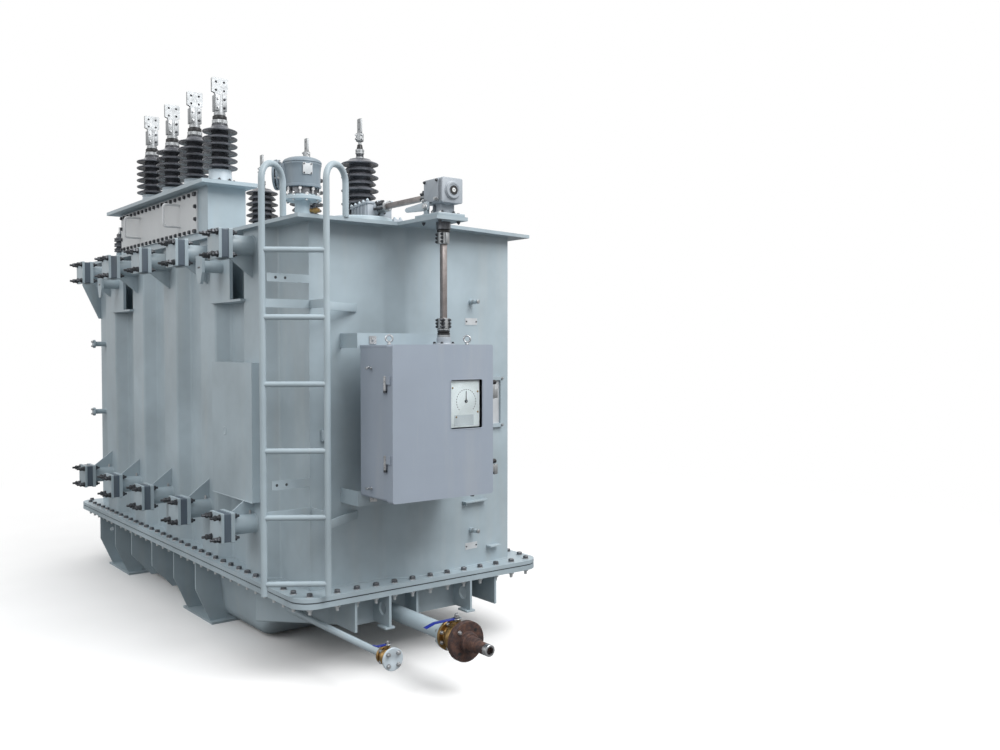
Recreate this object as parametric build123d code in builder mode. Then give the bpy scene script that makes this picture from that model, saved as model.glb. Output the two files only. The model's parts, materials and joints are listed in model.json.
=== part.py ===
from build123d import *
from math import atan2, cos, hypot, radians, sin
import os

# Power transformer without its radiators: a bell tank on a trough, a cover with bushings,
# a tap changer drive on the near end, a ladder on the near front corner and two drains.
# X runs along the tank and points to the drive cabinet, -Y is the side with the ladder,
# +Z is up. The shapes are drawn about the middle of the tank and saved about the middle of
# the whole outline, on the ground. Millimetres.

# Tank
tank_length = 3840.0
tank_width = 1360.0
tank_height = 2000.0
wall_t = 10.0
flange_top_z = 480.0
end_bulge = 85.0
end_bulge_y = -220.0
end_bulge_ramp = 110.0
end_bulge_flat = 230.0
end_bulge_back = 20.0
end_bend_r = 50.0

# Wall pilasters that carry the radiator pipes
pilaster_count = 5
pilaster_pitch = 685.0
pilaster_flat = 250.0
pilaster_run = 60.0
pilaster_depth = 80.0
pilaster_bend_r = 25.0
pilaster_clear = 14.0

# Main flange joint
flange_over_side = 147.0
flange_over_end = 165.0
flange_corner_r = 120.0
flange_inner_margin = 14.0
bell_flange_t = 22.0
joint_gasket_t = 8.0
trough_flange_t = 28.0
gasket_inset = 6.0

# Trough: a deep tub with a shallow apron towards the near end
tub_inset = 20.0
tub_lean = 50.0
tub_corner_r = 90.0
tub_near_inset = 480.0
apron_lap = 120.0
apron_over = 50.0
apron_narrow_inset = 280.0
apron_end_inset = 10.0
apron_depth = 242.0
trough_wall_t = 10.0
trough_floor_t = 14.0

# Feet and ribs of the trough
foot_t = 15.0
foot_length = 520.0
foot_centres = (-1360.0, 350.0)
foot_over = 40.0
foot_width = 220.0
rib_t = 12.0
rib_reach = 125.0
rib_straight = 190.0
rib_root_inset = 80.0
foot_rib_spacing = 400.0
foot_rib_over = 30.0
mid_rib_centres = (-756.0, -295.0)
mid_rib_inset = 20.0
mid_rib_low_z = 66.0
rib_hole_r = 16.0
rib_hole_out = 35.0
rib_hole_z = 300.0

# Webs under the flange ends, one pair with a towing hole
web_t = 14.0
web_height = 175.0
tow_web_y = 278.0
tow_hole_r = 18.0
tow_hole_setback = 45.0
tow_hole_drop = 78.0
tow_pad_w = 60.0
tow_pad_l = 90.0
tow_pad_t = 12.0
outer_web_y = 480.0
outer_web_setback = 25.0
mid_web_y = -60.0
mid_web_setback = 60.0
mid_web_height = 150.0

# Cover
cover_t = 20.0
cover_over_side = 120.0
cover_over_end = 115.0
tongue_reach = 385.0
tongue_y_min = -190.0
tongue_y_max = 12.0
cover_slant_near = 215.0
cover_slant_far = 75.0

# Front panel, a shallow box over the recess beside the near pilaster
panel_x_min = 895.0
panel_x_max = 1480.0
panel_above_flange = 435.0
panel_height = 797.0
panel_reach = 57.0
panel_t = 6.0

# Low voltage turret
turret_x_min = -1330.0
turret_x_max = 500.0
turret_depth = 260.0
turret_height = 355.0
turret_wall_t = 10.0
deck_t = 25.0
deck_over_x = 110.0
deck_over_front = 80.0
deck_over_back = 40.0
hatch_length = 1625.0
hatch_setback = 165.0
hatch_height = 280.0
hatch_lift = 60.0
hatch_t = 12.0
grip_x = (-820.0, 20.0)
grip_span = 150.0
grip_reach = 115.0
grip_r = 7.0
grip_bend_r = 20.0
grip_lift = 126.0

# Low voltage bushings
lv_count = 4
lv_pitch = 452.0
lv_first_x = 390.0
lv_foot_r = 98.0
lv_foot_t = 16.0
lv_base_r = 80.0
lv_base_top_r = 70.0
lv_base_h = 100.0
lv_core_r = 54.0
lv_shed_r = 114.0
lv_shed_count = 6
lv_shed_pitch = 48.0
lv_head_r = 46.0
lv_head_groove_r = 37.0
lv_head_h = 85.0
lv_stem_r = 34.0
lv_stem_h = 121.0
lv_palm_w = 110.0
lv_palm_h = 110.0
lv_palm_t = 20.0
palm_corner_r = 8.0
palm_hole_r = 7.0

# High voltage bushings
hv_count = 3
hv_pitch = 840.0
hv_mid_x = -370.0
hv_back_inset = 210.0
hv_foot_r = 150.0
hv_neck_r = 126.0
hv_top_r = 140.0
hv_foot_t = 24.0
hv_base_h = 130.0
hv_core_r = 78.0
hv_shed_r = 135.0
hv_shed_small_r = 116.0
hv_shed_count = 11
hv_shed_pitch = 48.0
hv_ring_r = 30.0
hv_ring_h = 16.0
hv_groove_r = 27.0
hv_groove_h = 18.0
hv_collar_r = 32.0
hv_collar_h = 37.0
hv_cone_low_r = 22.0
hv_cone_top_r = 18.0
hv_cone_h = 34.0
hv_stud_r = 12.0
hv_stud_h = 22.0
hv_clamp_r = 28.0
hv_clamp_h = 60.0
hv_terminal_w = 50.0
hv_terminal_h = 105.0
hv_terminal_t = 14.0
hv_hole_pitch = 50.0

# Shape of one shed, as shares of the shed pitch
shed_foot_share = 0.25
shed_droop_share = 0.05
shed_lip_share = 0.10
shed_back_share = 0.55
stack_margin = 6.0

# Pressure relief device
relief_inset = 450.0
relief_front_inset = 190.0
relief_neck_r = 44.0
relief_neck_h = 153.0
relief_flange_r = 112.0
relief_flange_t = 34.0
relief_throat_r = 92.0
relief_throat_h = 40.0
relief_body_r = 112.0
relief_body_h = 139.0
relief_dome_h = 45.0
relief_outlet_turn = 232.0
relief_outlet_lift = 78.0
relief_outlet_r = 66.0
relief_outlet_wall = 8.0
relief_outlet_reach = 150.0
relief_outlet_flange_r = 87.0
relief_outlet_flange_t = 14.0

# Tap changer head
head_inset = 380.0
head_y = -150.0
head_flange_r = 250.0
head_flange_t = 24.0
head_body_r = 205.0
head_body_h = 46.0
head_body_taper = 12.0
head_gear_length = 190.0
head_gear_width = 170.0
head_gear_above_axis = 60.0
head_gear_fall = 34.0
head_hub_r = 33.0
head_hub_t = 12.0

# Drive line
gearbox_l = 170.0
gearbox_w = 136.0
gearbox_h = 135.0
gearbox_corner_r = 10.0
gearbox_lift = 76.0
drive_axis_above = 133.0
gearbox_boss_r = 45.0
gearbox_boss_t = 14.0
gearbox_port_r = 28.0
bracket_plate_t = 16.0
bracket_over_x = 30.0
bracket_margin = 12.0
pedestal_w = 96.0
pedestal_l = 110.0
drive_out = 380.0
drive_y = -65.0
running_gap = 0.3
drive_shaft_w = 30.0
drive_coupling_r = 36.0
drive_coupling_h = 80.0
drive_sleeve_r = 39.0
drive_sleeve_h = 40.0
collar_r = 39.0
collar_h = 60.0
collar_flange_r = 62.0
collar_flange_t = 10.0

# Drive cabinet
cabinet_out = 190.0
cabinet_depth = 270.0
cabinet_y_min = -475.0
cabinet_width = 636.0
cabinet_above_flange = 522.0
cabinet_height = 808.0
cabinet_wall_t = 5.0
door_gap = 6.0
door_depth = 56.0
door_t = 5.0
door_lip = 5.0
door_corner_r = 14.0
window_width = 211.0
window_height = 264.0
window_from_hinge = 357.0
window_from_bottom = 361.0
window_overlap = 15.0
window_t = 4.0
hinge_pin_r = 7.0
hinge_length = 86.0
hinge_z_low = 199.0
hinge_z_high = 608.0
hinge_set_out = 10.0
hinge_leaf = 40.0
dial_plate_w = 196.0
dial_plate_h = 252.0
dial_plate_t = 4.0
dial_gap = 8.0
dial_post_r = 10.0
dial_post_pitch = 120.0
wall_bracket_y_min = -494.0
wall_bracket_y_max = 88.0
wall_bracket_t = 8.0
wall_bracket_h = 80.0
wall_bracket_low = 465.0
wall_bracket_high = 1317.0

# Ladder
ladder_left_out = 5.0
ladder_left_over = 270.0
ladder_right_out = 198.0
ladder_right_inset = 2.0
ladder_tube_r = 17.0
ladder_rung_r = 15.0
ladder_rung_pitch = 350.0
ladder_rung_count = 6
ladder_foot_above = 15.0
ladder_first_rung_above = 78.0
ladder_top_over = 266.0
ladder_back_x = -90.0
ladder_back_y = 163.0
ladder_hoop_r = 88.0
ladder_plate_t = 8.0
ladder_plate_h = 45.0
ladder_plate_low = 410.0
ladder_plate_high = 1530.0

# Radiator pipes and their valves
pipe_r = 57.0
pipe_length = 150.0
pipe_flange_w = 170.0
pipe_flange_t = 22.0
pipe_low = 302.0
pipe_high_drop = 98.0
valve_t = 42.0
valve_w = 160.0
blank_t = 16.0
square_corner_r = 6.0
gusset_t = 10.0
gusset_leg = 125.0

# Lifting lugs in two recesses of each side
lug_recesses = (0, 3)
lug_trunnion_shift = -68.0
lug_trunnion_r = 36.0
lug_drop = 195.0
lug_ear = 25.0
lug_plate_t = 20.0
lug_plate_h = 296.0
lug_plate_past = 130.0
lug_shelf_t = 14.0
lug_shelf_reach = 30.0
lug_shelf_drop = 410.0
lug_keeper_reach = 140.0
lug_keeper_t = 18.0
lug_keeper_w = 100.0
lug_keeper_top = 65.0
lug_keeper_drop = 105.0
lug_keeper_foot_w = 40.0

# Drains under the near end
drain_drop = 200.0
small_drain_inset = 70.0
small_pipe_r = 18.0
small_valve_out = 635.0
small_valve_l = 83.0
small_valve_r = 44.0
small_flange_r = 57.0
small_flange_t = 12.0
large_drain_y = -160.0
large_pipe_r = 45.0
large_valve_out = 565.0
large_valve_l = 130.0
large_valve_r = 82.0
large_flange_r = 106.0
large_flange_t = 34.0
nozzle_r = 30.0
nozzle_bore_r = 20.0
nozzle_l = 190.0
valve_stem_r = 12.0
stem_l = 14.0
lever_t = 6.0
lever_gap = 0.5
small_lever_l = 83.0
small_lever_w = 18.0
large_lever_l = 200.0
large_lever_w = 28.0

# Thermometer pockets on the near end wall
pocket_r = 15.0
pocket_l = 70.0
pocket_y = 355.0
pocket_low = 219.0
pocket_high_drop = 409.0

# Heights, faces and places that follow from the sizes above
half_l = tank_length / 2
half_w = tank_width / 2
inner_y = half_w - wall_t
tank_top_z = flange_top_z + tank_height
cover_top_z = tank_top_z + cover_t
gasket_top_z = flange_top_z - bell_flange_t
trough_flange_top_z = gasket_top_z - joint_gasket_t
trough_top_z = trough_flange_top_z - trough_flange_t
pilaster_y = half_w + pilaster_depth
turret_top_z = cover_top_z + turret_height
deck_top_z = turret_top_z + deck_t
turret_front_y = -half_w
turret_mid_y = turret_front_y + turret_depth / 2
cabinet_z_min = flange_top_z + cabinet_above_flange
cabinet_top_z = cabinet_z_min + cabinet_height
cabinet_x_min = half_l + cabinet_out
door_back_x = cabinet_x_min + cabinet_depth + door_gap
gear_z = cover_top_z + drive_axis_above
drain_z = flange_top_z - drain_drop
relief_x = half_l - relief_inset
relief_y = -half_w + relief_front_inset
head_x = half_l - head_inset
drive_x = half_l + drive_out
small_drain_y = -half_w + small_drain_inset
small_valve_x = half_l + small_valve_out
large_valve_x = half_l + large_valve_out
nozzle_x = large_valve_x + large_valve_l + large_flange_t
origin_x = (nozzle_x + nozzle_l - half_l - flange_over_end) / 2

os.makedirs("parts", exist_ok=True)


def save(builder, label):
    """Move a finished piece to the shared origin, label it and write it to its own file."""
    piece = builder.part.moved(Location((-origin_x, 0, 0)))
    piece.label = label
    export_step(piece, f"parts/{label}.step")


def pilaster_centres():
    """Middle of each pilaster along the tank."""
    first = -(pilaster_count - 1) / 2 * pilaster_pitch
    return [first + number * pilaster_pitch for number in range(pilaster_count)]


def wall_line(side):
    """Outer line of a long wall, from the far end to the near end."""
    points = [(-half_l, side * half_w)]
    for centre in pilaster_centres():
        points.append((centre - pilaster_flat / 2 - pilaster_run, side * half_w))
        points.append((centre - pilaster_flat / 2, side * pilaster_y))
        points.append((centre + pilaster_flat / 2, side * pilaster_y))
        points.append((centre + pilaster_flat / 2 + pilaster_run, side * half_w))
    points.append((half_l, side * half_w))
    return points


def thick_wall(points, shift_x, shift_y, bend_r):
    """A bent sheet between the flange and the cover, its bends rounded."""
    inner = [(x + shift_x, y + shift_y) for x, y in reversed(points)]
    ends = [points[0], points[-1], inner[0], inner[-1]]
    with BuildPart() as wall:
        with BuildSketch(Plane.XY.offset(flange_top_z)) as section:
            with BuildLine():
                Polyline(*points, *inner, close=True)
            make_face()
            bends = [
                vertex
                for vertex in section.vertices()
                if min(hypot(vertex.X - x, vertex.Y - y) for x, y in ends) > wall_t / 2
            ]
            fillet(bends, bend_r)
        extrude(amount=tank_height)
    return wall


# Long walls with their pilasters
for name, side in (("tank_front_wall", -1), ("tank_back_wall", 1)):
    save(thick_wall(wall_line(side), 0, -side * wall_t, pilaster_bend_r), name)

# Near end wall, bulged where the tap changer hangs behind it
bulge_full_y = end_bulge_y + end_bulge_ramp
bulge_back_y = bulge_full_y + end_bulge_flat
near_points = [
    (half_l, -inner_y),
    (half_l, end_bulge_y),
    (half_l + end_bulge, bulge_full_y),
    (half_l + end_bulge, bulge_back_y),
    (half_l + end_bulge_back, inner_y),
]
save(thick_wall(near_points, -wall_t, 0, end_bend_r), "tank_near_end_wall")

# Far end wall
with BuildPart() as far_wall:
    with BuildSketch(Plane.XY.offset(flange_top_z)):
        with Locations((-half_l + wall_t / 2, 0)):
            Rectangle(wall_t, 2 * inner_y)
    extrude(amount=tank_height)
save(far_wall, "tank_far_end_wall")


def flange_ring(bottom_z, thickness, inset, label):
    """One layer of the main joint: a long ring with rounded corners."""
    length = tank_length + 2 * flange_over_end - 2 * inset
    width = tank_width + 2 * flange_over_side - 2 * inset
    margin = wall_t + flange_inner_margin
    with BuildPart() as ring:
        with BuildSketch(Plane.XY.offset(bottom_z)):
            RectangleRounded(length, width, flange_corner_r - inset)
            Rectangle(tank_length - 2 * margin, tank_width - 2 * margin, mode=Mode.SUBTRACT)
        extrude(amount=thickness)
    save(ring, label)


flange_ring(gasket_top_z, bell_flange_t, 0, "bell_flange")
flange_ring(trough_flange_top_z, joint_gasket_t, gasket_inset, "joint_gasket")
flange_ring(trough_top_z, trough_flange_t, 0, "trough_flange")

# Trough sheet: the deep tub leans in and has rounded lower edges
tub_x_min = -half_l + tub_inset
tub_top_y = half_w - tub_inset
tub_low_y = tub_top_y - tub_lean
tub_near_x = half_l - tub_near_inset
apron_x_min = tub_near_x - apron_lap
apron_x_max = half_l - apron_end_inset
apron_wide_y = half_w + apron_over
apron_narrow_y = half_w - apron_narrow_inset
apron_bottom_z = trough_top_z - apron_depth


def tub_block(shrink, floor_z, corner_r):
    """Solid that fills the tub, or its inside once it is shrunk by a wall."""
    with BuildPart() as block:
        start = Plane(origin=(tub_x_min + shrink, 0, 0), x_dir=(0, 1, 0), z_dir=(1, 0, 0))
        with BuildSketch(start) as section:
            top = tub_top_y - shrink
            low = tub_low_y - shrink
            Polygon((-top, trough_top_z), (-low, floor_z), (low, floor_z), (top, trough_top_z), align=None)
            fillet(section.vertices().group_by(Axis.Y)[0], corner_r)
        extrude(amount=tub_near_x - tub_x_min - 2 * shrink)
    return block


def apron_block(shrink, floor_z):
    """Solid that fills the shallow near end, or its inside once it is shrunk by a wall."""
    corners = [
        (apron_x_min, -apron_wide_y),
        (apron_x_max, -apron_narrow_y),
        (apron_x_max, apron_narrow_y),
        (apron_x_min, apron_wide_y),
    ]
    with BuildPart() as block:
        with BuildSketch(Plane.XY.offset(floor_z)):
            Polygon(*corners, align=None)
            if shrink:
                offset(amount=-shrink, kind=Kind.INTERSECTION)
        extrude(amount=trough_top_z - floor_z)
    return block


with BuildPart() as trough_fill:
    add(tub_block(0, foot_t, tub_corner_r).part)
    add(apron_block(0, apron_bottom_z).part)

with BuildPart() as trough:
    add(trough_fill.part)
    add(
        tub_block(trough_wall_t, foot_t + trough_floor_t, tub_corner_r - trough_wall_t).part,
        mode=Mode.SUBTRACT,
    )
    add(apron_block(trough_wall_t, apron_bottom_z + trough_floor_t).part, mode=Mode.SUBTRACT)
save(trough, "trough")


def rib_points(side, low_y, low_z):
    """Outline of a rib on one long side, running into the tub."""
    rib_root_y = half_w - rib_root_inset
    return [
        (side * rib_root_y, trough_top_z),
        (side * (half_w + rib_reach), trough_top_z),
        (side * (half_w + rib_reach), trough_top_z - rib_straight),
        (side * low_y, low_z),
        (side * rib_root_y, low_z),
    ]


# Ribs between the tub and the flange above it, in pairs over the feet
rib_places = [(rib_x, half_w - mid_rib_inset, mid_rib_low_z) for rib_x in mid_rib_centres]
for foot_x in foot_centres:
    for shift in (-foot_rib_spacing / 2, foot_rib_spacing / 2):
        rib_places.append((foot_x + shift, half_w + foot_rib_over, foot_t))
with BuildPart() as ribs:
    for rib_x, low_y, low_z in rib_places:
        with BuildSketch(Plane(origin=(rib_x - rib_t / 2, 0, 0), x_dir=(0, 1, 0), z_dir=(1, 0, 0))):
            for side in (-1, 1):
                Polygon(*rib_points(side, low_y, low_z), align=None)
        extrude(amount=rib_t)
    hole_x = foot_centres[0] - foot_rib_spacing / 2 - rib_t
    with BuildSketch(Plane(origin=(hole_x, 0, 0), x_dir=(0, 1, 0), z_dir=(1, 0, 0))):
        with Locations((-half_w - rib_hole_out, rib_hole_z), (half_w + rib_hole_out, rib_hole_z)):
            Circle(rib_hole_r)
    extrude(amount=2 * rib_t, mode=Mode.SUBTRACT)
    add(trough_fill.part, mode=Mode.SUBTRACT)
save(ribs, "trough_ribs")

# Four foot plates under the trough, the lowest thing on the transformer
with BuildPart() as feet:
    with BuildSketch(Plane.XY):
        for foot_x in foot_centres:
            for side in (-1, 1):
                with Locations((foot_x, side * (half_w + foot_over - foot_width / 2))):
                    Rectangle(foot_length, foot_width)
    extrude(amount=foot_t)
save(feet, "foot_plates")


# End webs: two with a towing hole and a pad, two plain ones outside them, one between
web_end_x = half_l + flange_over_end
plain_webs = (
    (-outer_web_y, outer_web_setback, web_height),
    (outer_web_y, outer_web_setback, web_height),
    (mid_web_y, mid_web_setback, mid_web_height),
)
tow_webs = ((-tow_web_y, 0, web_height), (tow_web_y, 0, web_height))
with BuildPart() as webs:
    for end, root_x in ((-1, -tub_x_min), (1, tub_near_x)):
        for web_y, setback, height in plain_webs + tow_webs:
            length = web_end_x - setback - root_x
            with BuildSketch(Plane(origin=(0, web_y + web_t / 2, 0), x_dir=(1, 0, 0), z_dir=(0, -1, 0))):
                with Locations((end * (root_x + length / 2), trough_top_z - height / 2)):
                    Rectangle(length, height)
            extrude(amount=web_t)
        for web_y, _, height in tow_webs:
            with BuildSketch(Plane.XY.offset(trough_top_z - height - tow_pad_t)):
                with Locations((end * (web_end_x - tow_pad_l / 2), web_y)):
                    Rectangle(tow_pad_l, tow_pad_w)
            extrude(amount=tow_pad_t)
            with BuildSketch(Plane(origin=(0, web_y + web_t, 0), x_dir=(1, 0, 0), z_dir=(0, -1, 0))):
                with Locations((end * (web_end_x - tow_hole_setback), trough_top_z - tow_hole_drop)):
                    Circle(tow_hole_r)
            extrude(amount=2 * web_t, mode=Mode.SUBTRACT)
    add(trough_fill.part, mode=Mode.SUBTRACT)
save(webs, "end_webs")

# Cover, with the tongue that carries the bevel gearbox
with BuildPart() as cover:
    cover_y = half_w + cover_over_side
    cover_x = half_l + cover_over_end
    with BuildSketch(Plane.XY.offset(tank_top_z)):
        Polygon(
            (-cover_x, -cover_y),
            (cover_x, -cover_y),
            (cover_x, tongue_y_min),
            (cover_x + tongue_reach, tongue_y_min),
            (cover_x + tongue_reach, tongue_y_max),
            (half_l + cover_slant_near, tongue_y_max),
            (half_l + cover_slant_far, cover_y),
            (-cover_x, cover_y),
            align=None,
        )
    extrude(amount=cover_t)
save(cover, "cover_plate")

# Front panel: a box of thin sheet over a recess and the pilaster beside it
panel_z_min = flange_top_z + panel_above_flange
panel_front_y = -pilaster_y - panel_reach
ramp_top_x = pilaster_centres()[-1] - pilaster_flat / 2
ramp_low_x = ramp_top_x - pilaster_run
with BuildPart() as panel_fill:
    with BuildSketch(Plane.XY.offset(panel_z_min)):
        Polygon(
            (panel_x_min, panel_front_y),
            (panel_x_max, panel_front_y),
            (panel_x_max, -pilaster_y),
            (ramp_top_x - pilaster_clear, -pilaster_y),
            (ramp_low_x - pilaster_clear, -half_w),
            (panel_x_min, -half_w),
            align=None,
        )
    extrude(amount=panel_height)
with BuildPart() as panel:
    add(panel_fill.part)
    with BuildSketch(Plane.XY.offset(panel_z_min + panel_t)):
        with Locations(((panel_x_min + panel_x_max) / 2, (panel_front_y + panel_t) / 2)):
            Rectangle(panel_x_max - panel_x_min - 2 * panel_t, -panel_front_y - panel_t)
    extrude(amount=panel_height - 2 * panel_t, mode=Mode.SUBTRACT)
save(panel, "front_panel")

# Low voltage turret: an open-topped box on the cover, its deck and its hatch
turret_length = turret_x_max - turret_x_min
turret_x = (turret_x_max + turret_x_min) / 2
with BuildPart() as turret:
    with BuildSketch(Plane.XY.offset(cover_top_z)):
        with Locations((turret_x, turret_mid_y)):
            Rectangle(turret_length, turret_depth)
            Rectangle(
                turret_length - 2 * turret_wall_t,
                turret_depth - 2 * turret_wall_t,
                mode=Mode.SUBTRACT,
            )
    extrude(amount=turret_height)
save(turret, "turret_walls")

with BuildPart() as deck:
    with BuildSketch(Plane.XY.offset(turret_top_z)):
        with Locations((turret_x, turret_mid_y + (deck_over_back - deck_over_front) / 2)):
            Rectangle(turret_length + 2 * deck_over_x, turret_depth + deck_over_front + deck_over_back)
    extrude(amount=deck_t)
save(deck, "turret_deck")

hatch_x = turret_x_max - hatch_setback - hatch_length / 2
hatch_face_y = turret_front_y - hatch_t
grip_low_z = cover_top_z + grip_lift
grip_high_z = grip_low_z + grip_span
with BuildPart() as hatch:
    with BuildSketch(Plane.XZ.offset(-turret_front_y)):
        with Locations((hatch_x, cover_top_z + hatch_lift + hatch_height / 2)):
            Rectangle(hatch_length, hatch_height)
    extrude(amount=hatch_t)
    for x in grip_x:
        with BuildLine() as bow:
            FilletPolyline(
                (x, hatch_face_y, grip_low_z),
                (x, hatch_face_y - grip_reach, grip_low_z),
                (x, hatch_face_y - grip_reach, grip_high_z),
                (x, hatch_face_y, grip_high_z),
                radius=grip_bend_r,
            )
        with BuildSketch(Plane(origin=(x, hatch_face_y, grip_low_z), z_dir=(0, -1, 0))):
            Circle(grip_r)
        sweep(path=bow.line)
save(hatch, "turret_hatch")


def shed_profile(core_r, shed_radii, pitch):
    """Half outline of a porcelain: drooping sheds on a straight core."""
    height = len(shed_radii) * pitch + stack_margin
    points = [(0, 0), (core_r, 0)]
    for number, shed_r in enumerate(shed_radii):
        foot = number * pitch + stack_margin / 2 + pitch * shed_foot_share
        points.append((core_r, foot))
        points.append((shed_r, foot - pitch * shed_droop_share))
        points.append((shed_r, foot + pitch * shed_lip_share))
        points.append((core_r, foot + pitch * shed_back_share))
    points.append((core_r, height))
    points.append((0, height))
    return points, height


def turned(places, bottom_z, points):
    """One turned profile at each place."""
    with BuildPart() as stack:
        for x, y in places:
            with BuildSketch(Plane(origin=(x, y, bottom_z), x_dir=(1, 0, 0), z_dir=(0, -1, 0))):
                Polygon(*points, align=None)
            revolve(axis=Axis((x, y, 0), (0, 0, 1)))
    return stack


# Low voltage bushings: metal foot, porcelain, cap with its stem, palm
lv_points, lv_stack_h = shed_profile(lv_core_r, [lv_shed_r] * lv_shed_count, lv_shed_pitch)
lv_places = [(lv_first_x - number * lv_pitch, turret_mid_y) for number in range(lv_count)]
lv_stack_z = deck_top_z + lv_base_h
lv_head_z = lv_stack_z + lv_stack_h
lv_palm_z = lv_head_z + lv_head_h + lv_stem_h
lv_base_points = [
    (0, 0),
    (lv_foot_r, 0),
    (lv_foot_r, lv_foot_t),
    (lv_base_r, lv_foot_t),
    (lv_base_top_r, lv_base_h),
    (0, lv_base_h),
]
save(turned(lv_places, deck_top_z, lv_base_points), "lv_bushing_bases")
save(turned(lv_places, lv_stack_z, lv_points), "lv_porcelains")
lv_head_points = [
    (0, 0),
    (lv_head_r, 0),
    (lv_head_r, lv_head_h / 3),
    (lv_head_groove_r, lv_head_h / 3),
    (lv_head_groove_r, 2 * lv_head_h / 3),
    (lv_head_r, 2 * lv_head_h / 3),
    (lv_head_r, lv_head_h),
    (lv_stem_r, lv_head_h),
    (lv_stem_r, lv_head_h + lv_stem_h),
    (0, lv_head_h + lv_stem_h),
]
with BuildPart() as lv_terminals:
    add(turned(lv_places, lv_head_z, lv_head_points).part)
    for x, y in lv_places:
        with BuildSketch(Plane.XZ.offset(-y - lv_palm_t / 2)):
            with Locations((x, lv_palm_z + lv_palm_h / 2)):
                RectangleRounded(lv_palm_w, lv_palm_h, palm_corner_r)
                with GridLocations(lv_palm_w / 2, lv_palm_h / 2, 2, 2):
                    Circle(palm_hole_r, mode=Mode.SUBTRACT)
        extrude(amount=lv_palm_t)
save(lv_terminals, "lv_terminals")

# High voltage bushings along the back of the cover
hv_radii = [hv_shed_small_r if number % 2 else hv_shed_r for number in range(hv_shed_count)]
hv_points, hv_stack_h = shed_profile(hv_core_r, hv_radii, hv_shed_pitch)
hv_first_x = hv_mid_x - (hv_count - 1) / 2 * hv_pitch
hv_places = [(hv_first_x + number * hv_pitch, half_w - hv_back_inset) for number in range(hv_count)]
hv_stack_z = cover_top_z + hv_base_h
hv_cap_z = hv_stack_z + hv_stack_h
hv_base_points = [
    (0, 0),
    (hv_foot_r, 0),
    (hv_foot_r, hv_foot_t),
    (hv_neck_r, hv_foot_t),
    (hv_neck_r, hv_base_h - hv_foot_t),
    (hv_top_r, hv_base_h - hv_foot_t),
    (hv_top_r, hv_base_h),
    (0, hv_base_h),
]
save(turned(hv_places, cover_top_z, hv_base_points), "hv_bushing_bases")
save(turned(hv_places, hv_stack_z, hv_points), "hv_porcelains")
hv_cap_points = [(0, 0)]
hv_step_z = 0
for low_r, high_r, step_h in (
    (hv_ring_r, hv_ring_r, hv_ring_h),
    (hv_groove_r, hv_groove_r, hv_groove_h),
    (hv_collar_r, hv_collar_r, hv_collar_h),
    (hv_cone_low_r, hv_cone_top_r, hv_cone_h),
    (hv_stud_r, hv_stud_r, hv_stud_h),
    (hv_clamp_r, hv_clamp_r, hv_clamp_h),
):
    hv_cap_points.append((low_r, hv_step_z))
    hv_step_z += step_h
    hv_cap_points.append((high_r, hv_step_z))
hv_cap_points.append((0, hv_step_z))
hv_terminal_z = hv_cap_z + hv_step_z
with BuildPart() as hv_terminals:
    add(turned(hv_places, hv_cap_z, hv_cap_points).part)
    for x, y in hv_places:
        with BuildSketch(Plane.XZ.offset(-y - hv_terminal_t / 2)):
            with Locations((x, hv_terminal_z + hv_terminal_h / 2)):
                RectangleRounded(hv_terminal_w, hv_terminal_h, palm_corner_r)
                with GridLocations(0, hv_hole_pitch, 1, 2):
                    Circle(palm_hole_r, mode=Mode.SUBTRACT)
        extrude(amount=hv_terminal_t)
save(hv_terminals, "hv_terminals")

# Pressure relief device on its neck, its outlet turned to the front
relief_neck_points = [
    (0, 0),
    (relief_neck_r, 0),
    (relief_neck_r, relief_neck_h),
    (relief_flange_r, relief_neck_h),
    (relief_flange_r, relief_neck_h + relief_flange_t),
    (0, relief_neck_h + relief_flange_t),
]
save(turned([(relief_x, relief_y)], cover_top_z, relief_neck_points), "relief_neck")
relief_throat_z = cover_top_z + relief_neck_h + relief_flange_t
relief_body_z = relief_throat_z + relief_throat_h
with BuildPart() as relief:
    with BuildSketch(Plane.XY.offset(relief_throat_z)):
        with Locations((relief_x, relief_y)):
            Circle(relief_throat_r)
    extrude(amount=relief_throat_h)
    with BuildSketch(Plane.XY.offset(relief_body_z)):
        with Locations((relief_x, relief_y)):
            Circle(relief_body_r)
    extrude(amount=relief_body_h + relief_dome_h)
    fillet(relief.edges().group_by(Axis.Z)[-1], relief_dome_h)
    outlet_dir = (cos(radians(relief_outlet_turn)), sin(radians(relief_outlet_turn)), 0)
    outlet_plane = Plane(
        origin=(relief_x, relief_y, relief_body_z + relief_outlet_lift),
        z_dir=outlet_dir,
    )
    with BuildSketch(outlet_plane):
        Circle(relief_outlet_r)
    extrude(amount=relief_outlet_reach)
    with BuildSketch(outlet_plane.offset(relief_outlet_reach - relief_outlet_flange_t)):
        Circle(relief_outlet_flange_r)
    extrude(amount=relief_outlet_flange_t)
    with BuildSketch(outlet_plane.offset(relief_body_r / 2)):
        Circle(relief_outlet_r - relief_outlet_wall)
    extrude(amount=relief_outlet_reach, mode=Mode.SUBTRACT)
save(relief, "relief_device")

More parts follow.
